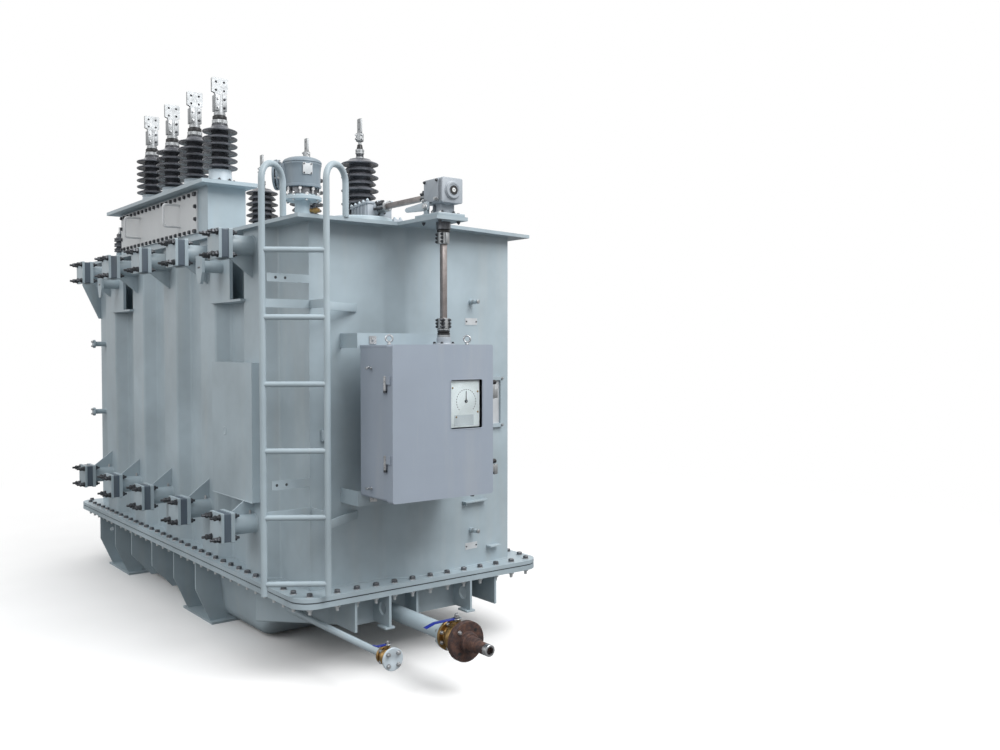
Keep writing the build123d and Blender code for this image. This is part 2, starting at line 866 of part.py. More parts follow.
# Tap changer head with the gear case that takes the cross shaft
with BuildPart() as head:
    with BuildSketch(Plane.XY.offset(cover_top_z)):
        with Locations((head_x, head_y)):
            Circle(head_flange_r)
    extrude(amount=head_flange_t)
    with BuildSketch(Plane.XY.offset(cover_top_z + head_flange_t)):
        with Locations((head_x, head_y)):
            Circle(head_body_r)
    extrude(amount=head_body_h, taper=head_body_taper)
    case_y = drive_y + head_gear_width / 2
    gear_case_face = Plane(origin=(head_x, case_y, 0), x_dir=(1, 0, 0), z_dir=(0, -1, 0))
    with BuildSketch(gear_case_face):
        Polygon(
            (-head_gear_length / 2, cover_top_z + head_flange_t),
            (head_gear_length / 2, cover_top_z + head_flange_t),
            (head_gear_length / 2, gear_z + head_gear_above_axis),
            (-head_gear_length / 2, gear_z + head_gear_above_axis - head_gear_fall),
            align=None,
        )
    extrude(amount=head_gear_width)
    with BuildSketch(Plane(origin=(head_x + head_gear_length / 2, drive_y, gear_z), z_dir=(1, 0, 0))):
        Circle(head_hub_r)
    extrude(amount=head_hub_t)
save(head, "tap_changer_head")

# Bracket of the bevel gearbox on the tongue, and the sleeve under it
gear_face = gearbox_l / 2
boss_z = cover_top_z + gearbox_lift + gearbox_h / 2
with BuildPart() as bracket:
    with BuildSketch(Plane.XY.offset(cover_top_z)):
        with Locations((drive_x, (tongue_y_min + tongue_y_max) / 2)):
            Rectangle(
                gearbox_l + 2 * bracket_over_x,
                tongue_y_max - tongue_y_min - 2 * bracket_margin,
            )
    extrude(amount=bracket_plate_t)
    with BuildSketch(Plane.XY.offset(cover_top_z + bracket_plate_t)):
        with Locations((drive_x, drive_y)):
            Rectangle(pedestal_l, pedestal_w)
    extrude(amount=gearbox_lift - bracket_plate_t)
    with BuildSketch(Plane.XY.offset(tank_top_z)):
        with Locations((drive_x, drive_y)):
            Circle(drive_sleeve_r)
    extrude(amount=-drive_sleeve_h)
save(bracket, "gearbox_bracket")

with BuildPart() as gearbox:
    with BuildSketch(Plane.XY.offset(cover_top_z + gearbox_lift)):
        with Locations((drive_x, drive_y)):
            RectangleRounded(gearbox_l, gearbox_w, gearbox_corner_r)
    extrude(amount=gearbox_h)
    with BuildSketch(Plane(origin=(drive_x + gear_face, drive_y, boss_z), z_dir=(1, 0, 0))):
        Circle(gearbox_boss_r)
    extrude(amount=gearbox_boss_t)
    with BuildSketch(Plane(origin=(drive_x - gear_face, drive_y, gear_z), z_dir=(-1, 0, 0))):
        Circle(gearbox_port_r)
    extrude(amount=gearbox_boss_t)
save(gearbox, "bevel_gearbox")


def square_shaft(start_plane, length, label):
    """Square tube with a round coupling at each end."""
    with BuildPart() as shaft:
        with BuildSketch(start_plane):
            Rectangle(drive_shaft_w, drive_shaft_w)
        extrude(amount=length)
        for start in (0, length - drive_coupling_h):
            with BuildSketch(start_plane.offset(start)):
                Circle(drive_coupling_r)
            extrude(amount=drive_coupling_h)
    save(shaft, label)


collar_top_z = cabinet_top_z + collar_flange_t + collar_h
upright_start = Plane(origin=(drive_x, drive_y, collar_top_z + running_gap), z_dir=(0, 0, 1))
upright_length = tank_top_z - drive_sleeve_h - collar_top_z - 2 * running_gap
square_shaft(upright_start, upright_length, "upright_shaft")
head_face_x = head_x + head_gear_length / 2 + head_hub_t
cross_start = Plane(origin=(head_face_x + running_gap, drive_y, gear_z), z_dir=(1, 0, 0))
cross_length = drive_x - gear_face - gearbox_boss_t - head_face_x - 2 * running_gap
square_shaft(cross_start, cross_length, "cross_shaft")

# Drive cabinet: an open box, its door, window and dial
cabinet_mid_y = cabinet_y_min + cabinet_width / 2
cabinet_mid_z = cabinet_z_min + cabinet_height / 2


def cabinet_plane(x):
    """Upright plane across the cabinet, facing away from the tank."""
    return Plane(origin=(x, cabinet_mid_y, cabinet_mid_z), x_dir=(0, 1, 0), z_dir=(1, 0, 0))


with BuildPart() as cabinet:
    with BuildSketch(cabinet_plane(cabinet_x_min)):
        RectangleRounded(cabinet_width, cabinet_height, door_corner_r)
    extrude(amount=cabinet_depth)
    with BuildSketch(cabinet_plane(cabinet_x_min + cabinet_wall_t)):
        RectangleRounded(
            cabinet_width - 2 * cabinet_wall_t,
            cabinet_height - 2 * cabinet_wall_t,
            door_corner_r - cabinet_wall_t,
        )
    extrude(amount=cabinet_depth, mode=Mode.SUBTRACT)
save(cabinet, "cabinet_body")

with BuildPart() as collar:
    with BuildSketch(Plane.XY.offset(cabinet_top_z)):
        with Locations((drive_x, drive_y)):
            Circle(collar_flange_r)
    extrude(amount=collar_flange_t)
    with BuildSketch(Plane.XY.offset(cabinet_top_z + collar_flange_t)):
        with Locations((drive_x, drive_y)):
            Circle(collar_r)
    extrude(amount=collar_h)
save(collar, "shaft_collar")

door_w = cabinet_width + 2 * door_lip
door_h = cabinet_height + 2 * door_lip
window_shift_y = -cabinet_width / 2 + window_from_hinge + window_width / 2
window_shift_z = -cabinet_height / 2 + window_from_bottom + window_height / 2
door_edge_y = cabinet_y_min - door_lip
hinge_x = cabinet_x_min + cabinet_depth + door_gap / 2
hinge_y = door_edge_y - hinge_set_out
with BuildPart() as door:
    with BuildSketch(cabinet_plane(door_back_x)):
        RectangleRounded(door_w, door_h, door_corner_r)
    extrude(amount=door_depth)
    with BuildSketch(cabinet_plane(door_back_x)):
        RectangleRounded(door_w - 2 * door_t, door_h - 2 * door_t, door_corner_r - door_t)
    extrude(amount=door_depth - door_t, mode=Mode.SUBTRACT)
    with BuildSketch(cabinet_plane(door_back_x)):
        with Locations((window_shift_y, window_shift_z)):
            RectangleRounded(window_width, window_height, 2 * door_t)
    extrude(amount=door_depth, mode=Mode.SUBTRACT)
    for low in (hinge_z_low, hinge_z_high):
        with BuildSketch(Plane.XY.offset(cabinet_z_min + low + running_gap)):
            with Locations((hinge_x, hinge_y)):
                Circle(hinge_pin_r)
            Polygon(
                (hinge_x, hinge_y),
                (hinge_x + hinge_leaf, hinge_y),
                (hinge_x + hinge_leaf, door_edge_y),
                (door_back_x, door_edge_y),
                align=None,
            )
        extrude(amount=hinge_length / 2)
save(door, "cabinet_door")

with BuildPart() as window:
    with BuildSketch(cabinet_plane(door_back_x + door_depth - door_t - window_t)):
        with Locations((window_shift_y, window_shift_z)):
            Rectangle(window_width + 2 * window_overlap, window_height + 2 * window_overlap)
    extrude(amount=window_t)
save(window, "door_window")

# Dial plate on two posts inside the cabinet, behind the window
dial_x = door_back_x + door_depth - door_t - window_t - dial_gap - dial_plate_t
with BuildPart() as dial:
    with BuildSketch(cabinet_plane(dial_x)):
        with Locations((window_shift_y, window_shift_z)):
            Rectangle(dial_plate_w, dial_plate_h)
    extrude(amount=dial_plate_t)
    with BuildSketch(cabinet_plane(cabinet_x_min + cabinet_wall_t)):
        with Locations((window_shift_y, window_shift_z)):
            with GridLocations(0, dial_post_pitch, 1, 2):
                Circle(dial_post_r)
    extrude(amount=dial_x - cabinet_x_min - cabinet_wall_t)
save(dial, "position_dial")

# Door hinges: the lower knuckle of each is the cabinet's, the upper one the door's
hinge_root_x = cabinet_x_min + cabinet_depth - hinge_leaf
with BuildPart() as hinges:
    for low in (hinge_z_low, hinge_z_high):
        with BuildSketch(Plane.XY.offset(cabinet_z_min + low)):
            with Locations((hinge_x, hinge_y)):
                Circle(hinge_pin_r)
            Polygon(
                (hinge_x, hinge_y),
                (hinge_root_x, hinge_y),
                (hinge_root_x, cabinet_y_min),
                (cabinet_x_min + cabinet_depth, cabinet_y_min),
                align=None,
            )
        extrude(amount=-hinge_length / 2)
save(hinges, "door_hinges")

# Two bent flat bars that hold the cabinet off the tank wall
bar_front_x = cabinet_x_min - wall_bracket_t / 2
with BuildPart() as brackets:
    for above in (wall_bracket_low, wall_bracket_high):
        with BuildSketch(Plane.XY.offset(flange_top_z + above)):
            with Locations((bar_front_x, (wall_bracket_y_min + wall_bracket_y_max) / 2)):
                Rectangle(wall_bracket_t, wall_bracket_y_max - wall_bracket_y_min)
            for arm_y, wall_x in (
                (wall_bracket_y_min + wall_bracket_t / 2, half_l),
                (wall_bracket_y_max - wall_bracket_t / 2, half_l + end_bulge),
            ):
                with Locations(((wall_x + cabinet_x_min) / 2, arm_y)):
                    Rectangle(cabinet_x_min - wall_x, wall_bracket_t)
        extrude(amount=wall_bracket_h)
save(brackets, "cabinet_brackets")

# Ladder: two stiles that bend over on to the cover, and round rungs
ladder_left_x = half_l + ladder_left_out
ladder_left_y = -half_w - ladder_left_over
ladder_right_x = half_l + ladder_right_out
ladder_right_y = -half_w + ladder_right_inset
ladder_run = hypot(ladder_right_x - ladder_left_x, ladder_right_y - ladder_left_y)
ladder_foot_z = flange_top_z + ladder_foot_above
ladder_top_z = cover_top_z + ladder_top_over
with BuildPart() as stiles:
    for x, y in ((ladder_left_x, ladder_left_y), (ladder_right_x, ladder_right_y)):
        with BuildLine() as stile:
            FilletPolyline(
                (x, y, ladder_foot_z),
                (x, y, ladder_top_z),
                (x + ladder_back_x, y + ladder_back_y, ladder_top_z),
                (x + ladder_back_x, y + ladder_back_y, cover_top_z),
                radius=ladder_hoop_r,
            )
        with BuildSketch(Plane.XY.offset(ladder_foot_z)):
            with Locations((x, y)):
                Circle(ladder_tube_r)
        sweep(path=stile.line)
save(stiles, "ladder_stiles")

rung_dir = (
    (ladder_right_x - ladder_left_x) / ladder_run,
    (ladder_right_y - ladder_left_y) / ladder_run,
    0,
)
with BuildPart() as rungs:
    for number in range(ladder_rung_count):
        rung_z = flange_top_z + ladder_first_rung_above + number * ladder_rung_pitch
        with BuildSketch(Plane(origin=(ladder_left_x, ladder_left_y, rung_z), z_dir=rung_dir)):
            Circle(ladder_rung_r)
        extrude(amount=ladder_run)
    add(stiles.part, mode=Mode.SUBTRACT)
save(rungs, "ladder_rungs")

# Plates that tie the stiles to the two walls
with BuildPart() as ladder_plates:
    for above in (ladder_plate_low, ladder_plate_high):
        with BuildSketch(Plane.XY.offset(flange_top_z + above)):
            with Locations((ladder_left_x - wall_t, (ladder_left_y - half_w) / 2)):
                Rectangle(ladder_plate_t, -half_w - ladder_left_y)
            with Locations(((ladder_right_x + half_l) / 2, ladder_right_y + ladder_plate_t)):
                Rectangle(ladder_right_x - half_l, ladder_plate_t)
        extrude(amount=ladder_plate_h)
    add(stiles.part, mode=Mode.SUBTRACT)
save(ladder_plates, "ladder_plates")

# Radiator pipes: a stub, its square flange and a gusset to the wall
pipe_rows = (
    (flange_top_z + pipe_low, 1),
    (tank_top_z - pipe_high_drop, -1),
)
with BuildPart() as pipes:
    for side in (-1, 1):
        for pipe_z, gusset_side in pipe_rows:
            for pipe_x in pilaster_centres():
                wall_plane = Plane(origin=(pipe_x, side * pilaster_y, pipe_z), z_dir=(0, side, 0))
                with BuildSketch(wall_plane):
                    Circle(pipe_r)
                extrude(amount=pipe_length)
                with BuildSketch(wall_plane.offset(pipe_length)):
                    RectangleRounded(pipe_flange_w, pipe_flange_w, square_corner_r)
                extrude(amount=pipe_flange_t)
                edge = pipe_z + gusset_side * (pipe_r - gusset_t)
                with BuildSketch(
                    Plane(origin=(pipe_x - gusset_t / 2, 0, 0), x_dir=(0, 1, 0), z_dir=(1, 0, 0))
                ):
                    Polygon(
                        (side * pilaster_y, edge),
                        (side * (pilaster_y + pipe_length), edge),
                        (side * (pilaster_y + pipe_length), edge + gusset_side * 2 * gusset_t),
                        (side * pilaster_y, edge + gusset_side * (gusset_leg + gusset_t)),
                        align=None,
                    )
                extrude(amount=gusset_t)
    add(panel_fill.part, mode=Mode.SUBTRACT)
save(pipes, "radiator_pipes")


def square_plates(face_y, size, thickness, label):
    """Square plates of one layer, on every pipe flange."""
    with BuildPart() as plates:
        for side in (-1, 1):
            for pipe_z, _ in pipe_rows:
                for pipe_x in pilaster_centres():
                    with BuildSketch(Plane(origin=(pipe_x, side * face_y, pipe_z), z_dir=(0, side, 0))):
                        RectangleRounded(size, size, square_corner_r)
                    extrude(amount=thickness)
    save(plates, label)


valve_face_y = pilaster_y + pipe_length + pipe_flange_t
square_plates(valve_face_y, valve_w, valve_t, "radiator_valves")
square_plates(valve_face_y + valve_t, pipe_flange_w, blank_t, "blank_flanges")

# Lifting lugs in the recesses: shelf, upright plate, trunnion and keeper
shelf_z = tank_top_z - lug_shelf_drop
lug_z = tank_top_z - lug_drop
with BuildPart() as lugs:
    for recess in lug_recesses:
        middle = (pilaster_centres()[recess] + pilaster_centres()[recess + 1]) / 2
        wide = (pilaster_pitch - pilaster_flat) / 2
        narrow = wide - pilaster_run
        trunnion_x = middle + lug_trunnion_shift
        for side in (-1, 1):
            with BuildSketch(Plane.XY.offset(shelf_z)):
                Polygon(
                    (middle - wide - lug_ear, side * pilaster_y),
                    (middle - wide - lug_ear, side * (pilaster_y + lug_shelf_reach)),
                    (middle + wide + lug_ear, side * (pilaster_y + lug_shelf_reach)),
                    (middle + wide + lug_ear, side * pilaster_y),
                    (middle + wide - pilaster_clear, side * pilaster_y),
                    (middle + narrow - pilaster_clear, side * half_w),
                    (middle - narrow + pilaster_clear, side * half_w),
                    (middle - wide + pilaster_clear, side * pilaster_y),
                    align=None,
                )
            extrude(amount=lug_shelf_t)
            plate_x_min = middle - wide - lug_ear
            plate_x_max = trunnion_x + lug_plate_past
            face_plane = Plane(origin=(0, side * pilaster_y, 0), x_dir=(-side, 0, 0), z_dir=(0, side, 0))
            with BuildSketch(face_plane):
                with Locations(
                    (-side * (plate_x_min + plate_x_max) / 2, shelf_z + lug_shelf_t + lug_plate_h / 2)
                ):
                    Rectangle(plate_x_max - plate_x_min, lug_plate_h)
            extrude(amount=lug_plate_t)
            with BuildSketch(face_plane):
                with Locations((-side * trunnion_x, lug_z)):
                    Circle(lug_trunnion_r)
            extrude(amount=lug_keeper_reach)
            with BuildSketch(face_plane.offset(lug_keeper_reach)):
                with Locations((-side * trunnion_x, lug_z)):
                    Polygon(
                        (-lug_keeper_w / 2, lug_keeper_top),
                        (lug_keeper_w / 2, lug_keeper_top),
                        (lug_keeper_w / 2, -lug_trunnion_r),
                        (lug_keeper_foot_w / 2, -lug_keeper_drop),
                        (-lug_keeper_foot_w / 2, -lug_keeper_drop),
                        (-lug_keeper_w / 2, -lug_trunnion_r),
                        align=None,
                    )
            extrude(amount=lug_keeper_t)
save(lugs, "lifting_lugs")


def along_x(x, y):
    """Upright plane across a drain, facing away from the tank."""
    return Plane(origin=(x, y, drain_z), x_dir=(0, 1, 0), z_dir=(1, 0, 0))


small_drain = (small_drain_y, small_pipe_r, small_valve_x, small_valve_l, small_valve_r)
large_drain = (large_drain_y, large_pipe_r, large_valve_x, large_valve_l, large_valve_r)

# Drain pipes from the trough's near end
with BuildPart() as drain_pipes:
    for y, tube_r, valve_x, _, _ in (small_drain, large_drain):
        with BuildSketch(along_x(tub_near_x, y)):
            Circle(tube_r)
        extrude(amount=valve_x - tub_near_x)
    add(trough_fill.part, mode=Mode.SUBTRACT)
save(drain_pipes, "drain_pipes")

# Valve bodies, each with the stem its lever turns on
with BuildPart() as drain_valves:
    for y, _, valve_x, valve_l, valve_r in (small_drain, large_drain):
        with BuildSketch(along_x(valve_x, y)):
            Circle(valve_r)
        extrude(amount=valve_l)
        with BuildSketch(Plane.XY.offset(drain_z)):
            with Locations((valve_x + valve_l / 2, y)):
                Circle(valve_stem_r)
        extrude(amount=valve_r + stem_l)
save(drain_valves, "drain_valves")

# Flanges that close the drains, the large one with a nozzle
with BuildPart() as drain_flanges:
    with BuildSketch(along_x(small_valve_x + small_valve_l, small_drain_y)):
        Circle(small_flange_r)
    extrude(amount=small_flange_t)
    with BuildSketch(along_x(large_valve_x + large_valve_l, large_drain_y)):
        Circle(large_flange_r)
    extrude(amount=large_flange_t)
    with BuildSketch(along_x(nozzle_x, large_drain_y)):
        Circle(nozzle_r)
    extrude(amount=nozzle_l)
    with BuildSketch(along_x(nozzle_x, large_drain_y)):
        Circle(nozzle_bore_r)
    extrude(amount=nozzle_l, mode=Mode.SUBTRACT)
save(drain_flanges, "drain_flanges")


def lever(stem_x, stem_y, stem_z, length, width, label):
    """Flat lever that turns on the valve's stem, closed across the pipe."""
    with BuildPart() as bar:
        with BuildSketch(Plane.XY.offset(stem_z + lever_gap)):
            with Locations((stem_x, stem_y)):
                Circle(width)
            with Locations((stem_x, stem_y - length / 2)):
                Rectangle(width, length)
        extrude(amount=lever_t)
    save(bar, label)


small_stem_z = drain_z + small_valve_r + stem_l
large_stem_z = drain_z + large_valve_r + stem_l
small_stem_x = small_valve_x + small_valve_l / 2
large_stem_x = large_valve_x + large_valve_l / 2
lever(small_stem_x, small_drain_y, small_stem_z, small_lever_l, small_lever_w, "small_drain_lever")
lever(large_stem_x, large_drain_y, large_stem_z, large_lever_l, large_lever_w, "large_drain_lever")

# Thermometer pockets square to the slanted part of the near end wall
wall_turn = atan2(end_bulge - end_bulge_back, inner_y - bulge_back_y)
pocket_share = (pocket_y - bulge_back_y) / (inner_y - bulge_back_y)
pocket_x = half_l + end_bulge + pocket_share * (end_bulge_back - end_bulge)
with BuildPart() as pockets:
    for pocket_z in (flange_top_z + pocket_low, tank_top_z - pocket_high_drop):
        with BuildSketch(
            Plane(
                origin=(pocket_x, pocket_y, pocket_z),
                z_dir=(cos(wall_turn), sin(wall_turn), 0),
            )
        ):
            Circle(pocket_r)
        extrude(amount=pocket_l)
save(pockets, "thermometer_pockets")
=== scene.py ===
import bpy
import bmesh
import json
import math
from mathutils import Matrix, Vector


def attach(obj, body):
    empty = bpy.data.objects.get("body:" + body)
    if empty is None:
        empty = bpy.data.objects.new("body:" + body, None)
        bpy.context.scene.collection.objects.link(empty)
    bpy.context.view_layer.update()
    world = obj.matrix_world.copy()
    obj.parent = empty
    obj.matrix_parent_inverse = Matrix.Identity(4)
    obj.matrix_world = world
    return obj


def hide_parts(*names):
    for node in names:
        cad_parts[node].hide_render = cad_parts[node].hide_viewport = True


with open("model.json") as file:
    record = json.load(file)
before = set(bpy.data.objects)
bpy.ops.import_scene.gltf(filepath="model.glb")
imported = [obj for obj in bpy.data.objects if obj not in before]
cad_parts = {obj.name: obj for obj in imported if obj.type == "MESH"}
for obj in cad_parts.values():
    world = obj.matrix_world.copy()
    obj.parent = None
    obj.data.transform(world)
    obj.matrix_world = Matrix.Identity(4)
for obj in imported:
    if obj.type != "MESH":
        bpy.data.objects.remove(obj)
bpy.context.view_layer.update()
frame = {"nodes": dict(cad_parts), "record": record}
print("frame loaded")

# Camera at the photograph's place, aimed along the tank's near corner
shot = {"place": (6.227, -3.059, 1.807), "turn": 51.81, "down": 1.73, "lens": 34.466}


def makeCamera():
    lens = bpy.data.cameras.new("camera")
    lens.lens, lens.sensor_width = shot["lens"], 36.0
    camera = bpy.data.objects.new("camera", lens)
    bpy.context.collection.objects.link(camera)
    turn, down = math.radians(shot["turn"]), math.radians(shot["down"])
    aim = Vector((-math.sin(turn) * math.cos(down), math.cos(turn) * math.cos(down), -math.sin(down)))
    camera.location = shot["place"]
    camera.rotation_mode = "QUATERNION"
    camera.rotation_quaternion = aim.to_track_quat("-Z", "Y")
    bpy.context.scene.camera = camera


makeCamera()


# Node helpers: one call for any node, one class for sums on sockets
def addNode(tree, kind, settings=None, inputs=None, output=0):
    node = tree.nodes.new(kind)
    for name, value in (settings or {}).items():
        if name == "stops":
            ramp = node.color_ramp
            while len(ramp.elements) < len(value):
                ramp.elements.new(0.5)
            for element, (position, colour) in zip(ramp.elements, value):
                element.position, element.color = position, (*colour, 1.0)
        else:
            setattr(node, name, value)
    pairs = inputs.items() if isinstance(inputs, dict) else enumerate(inputs or ())
    for key, value in pairs:
        if value is None:
            continue
        if isinstance(value, Wire):
            tree.links.new(value.socket, node.inputs[key])
        else:
            node.inputs[key].default_value = value
    return Wire(tree, node.outputs[output]) if len(node.outputs) else None


class Wire:
    def __init__(self, tree, socket):
        self.tree, self.socket = tree, socket

    def sum(self, operation, other, swapped=False):
        pair = (other, self) if swapped else (self, other)
        return addNode(self.tree, "ShaderNodeMath", {"operation": operation}, pair)

    def __add__(self, other):
        return self.sum("ADD", other)

    def __sub__(self, other):
        return self.sum("SUBTRACT", other)

    def __rsub__(self, other):
        return self.sum("SUBTRACT", other, True)

    def __mul__(self, other):
        return self.sum("MULTIPLY", other)

    __radd__ = __add__
    __rmul__ = __mul__

    def other(self, output):
        return Wire(self.tree, self.socket.node.outputs[output])


def srgb(red, green, blue):
    def straight(value):
        value /= 255
        return value / 12.92 if value <= 0.04045 else ((value + 0.055) / 1.055) ** 2.4
    return (straight(red), straight(green), straight(blue))


def mixColour(tree, factor, first, second, blend="MIX"):
    fill = [c if isinstance(c, Wire) else (*c, 1.0) for c in (first, second)]
    return addNode(
        tree, "ShaderNodeMix", {"data_type": "RGBA", "blend_type": blend}, {0: factor, 6: fill[0], 7: fill[1]}, 2
    )


def noise(tree, place, scale, detail=3.0, rough=0.5, stretch=None):
    if stretch:
        place = addNode(tree, "ShaderNodeVectorMath", {"operation": "MULTIPLY"}, (place, stretch))
    return addNode(tree, "ShaderNodeTexNoise", None, {
        "Vector": place, "Scale": scale, "Detail": detail, "Roughness": rough})


def spread(tree, value, low, high):
    return addNode(
        tree, "ShaderNodeMapRange", {"clamp": True}, {"Value": value, "From Min": low, "From Max": high}
    )


def newFinish(name, colour, roughness, metallic=0.0, coat=0.0):
    finish = bpy.data.materials.new(name)
    finish.use_nodes = True
    tree = finish.node_tree
    shader = tree.nodes["Principled BSDF"]
    shader.inputs["Base Color"].default_value = (*colour, 1.0)
    shader.inputs["Roughness"].default_value = roughness
    shader.inputs["Metallic"].default_value = metallic
    shader.inputs["Coat Weight"].default_value = coat
    place = addNode(tree, "ShaderNodeTexCoord", output=3)
    return finish, tree, shader, place


def feed(tree, shader, **sockets):
    names = {"colour": "Base Color", "roughness": "Roughness", "metallic": "Metallic", "normal": "Normal"}
    for name, wire in sockets.items():
        tree.links.new(wire.socket, shader.inputs[names[name]])


def bumpFrom(tree, height, distance, strength=1.0):
    return addNode(tree, "ShaderNodeBump", None, {"Strength": strength, "Distance": distance, "Height": height})


# Painted sheet: orange peel, faint clouding, dust that runs down and rubbed patches
paintLook = {
    "peel": 260.0, "peelDepth": 0.0006, "wave": 2.4, "cloud": 1.7, "streak": 9.0, "streakStretch": (1.0, 1.0, 0.09),
    "speck": 46.0, "dust": 0.16, "dustTint": (196, 190, 178), "rub": 0.22, "rubShade": 0.55,
}


def paintedSteel(name, colour, roughness=0.42, shade=0.80, pale=1.10, depth=1.0):
    finish, tree, shader, place = newFinish(name, colour, roughness)
    cloud = noise(tree, place, paintLook["cloud"], 4.0, 0.6)
    streak = noise(tree, place, paintLook["streak"], 5.0, 0.62, paintLook["streakStretch"])
    speck = noise(tree, place, paintLook["speck"], 6.0, 0.7)
    dark = tuple(c * shade for c in colour)
    light = tuple(min(1.0, c * pale) for c in colour)
    body = mixColour(tree, spread(tree, cloud, 0.32, 0.70), dark, light)
    body = mixColour(tree, spread(tree, streak, 0.52, 0.78) * paintLook["dust"], body, srgb(*paintLook["dustTint"]))
    rubbed = tuple(c * paintLook["rubShade"] for c in colour)
    body = mixColour(tree, spread(tree, speck, 0.66, 0.80) * paintLook["rub"], body, rubbed)
    rough = spread(tree, cloud * 0.5 + speck * 0.5, 0.3, 0.7) * 0.16 + (roughness - 0.08)
    peel = noise(tree, place, paintLook["peel"], 2.0, 0.5)
    wave = noise(tree, place, paintLook["wave"], 2.0, 0.5)
    normal = bumpFrom(tree, peel * (0.25 * depth) + wave * 3.0, paintLook["peelDepth"])
    feed(tree, shader, colour=body, roughness=rough, normal=normal)
    return finish


def bareMetal(name, colour, roughness, grain=120.0, dullness=0.5, stain=(0.1, 0.07, 0.05), stainShare=0.25):
    finish, tree, shader, place = newFinish(name, colour, roughness, 1.0)
    cloud = noise(tree, place, 22.0, 5.0, 0.62)
    fine = noise(tree, place, grain, 4.0, 0.6)
    body = mixColour(tree, spread(tree, cloud, 0.35, 0.7), colour, tuple(c * dullness for c in colour))
    body = mixColour(tree, spread(tree, fine * 0.5 + cloud * 0.5, 0.56, 0.72) * stainShare, body, stain)
    rough = spread(tree, fine, 0.3, 0.7) * 0.22 + (roughness - 0.08)
    metal = 1.0 - spread(tree, cloud, 0.55, 0.75) * 0.35
    feed(tree, shader, colour=body, roughness=rough, metallic=metal, normal=bumpFrom(tree, fine, 0.0004))
    return finish


def glazed(name, colour):
    finish, tree, shader, place = newFinish(name, colour, 0.26, 0.0, 0.25)
    cloud = noise(tree, place, 14.0, 4.0, 0.6)
    body = mixColour(tree, spread(tree, cloud, 0.35, 0.7), colour, tuple(c * 2.4 + 0.006 for c in colour))
    dust = noise(tree, place, 60.0, 5.0, 0.7)
    body = mixColour(tree, spread(tree, dust, 0.55, 0.75) * 0.16, body, srgb(150, 140, 130))
    feed(tree, shader, colour=body, roughness=spread(tree, cloud, 0.3, 0.7) * 0.14 + 0.2,
         normal=bumpFrom(tree, noise(tree, place, 40.0, 3.0), 0.0006))
    shader.inputs["Coat Roughness"].default_value = 0.12
    shader.inputs["Specular IOR Level"].default_value = 0.35
    return finish


def scaled(name):
    finish, tree, shader, place = newFinish(name, srgb(92, 62, 52), 0.8)
    patch = noise(tree, place, 34.0, 6.0, 0.68)
    fine = noise(tree, place, 190.0, 4.0, 0.7)
    body = addNode(tree, "ShaderNodeValToRGB", {"stops": [
        (0.30, srgb(38, 32, 32)), (0.46, srgb(62, 46, 44)), (0.62, srgb(88, 62, 52)), (0.78, srgb(122, 90, 72))
    ]}, {0: patch})
    height = patch * 2.0 + fine
    feed(tree, shader, colour=body, roughness=spread(tree, fine, 0.3, 0.7) * 0.25 + 0.62,
         normal=bumpFrom(tree, height, 0.0009))
    return finish


def plain(name, colour, roughness, speckle=90.0, depth=0.0003):
    finish, tree, shader, place = newFinish(name, colour, roughness)
    grain = noise(tree, place, speckle, 4.0, 0.6)
    cloud = noise(tree, place, 6.0, 3.0, 0.5)
    dark, light = (tuple(min(1.0, c * share) for c in colour) for share in (0.85, 1.12))
    body = mixColour(tree, spread(tree, cloud, 0.3, 0.7), dark, light)
    feed(tree, shader, colour=body, roughness=spread(tree, grain, 0.3, 0.7) * 0.14 + (roughness - 0.07),
         normal=bumpFrom(tree, grain, depth))
    return finish


def clearPane(name):
    finish, tree, shader, place = newFinish(name, (0.93, 0.97, 0.98), 0.05)
    smear = noise(tree, place, 9.0, 4.0, 0.6)
    feed(tree, shader, roughness=spread(tree, smear, 0.35, 0.75) * 0.10 + 0.02)
    shader.inputs["Transmission Weight"].default_value = 1.0
    shader.inputs["IOR"].default_value = 1.12
    return finish


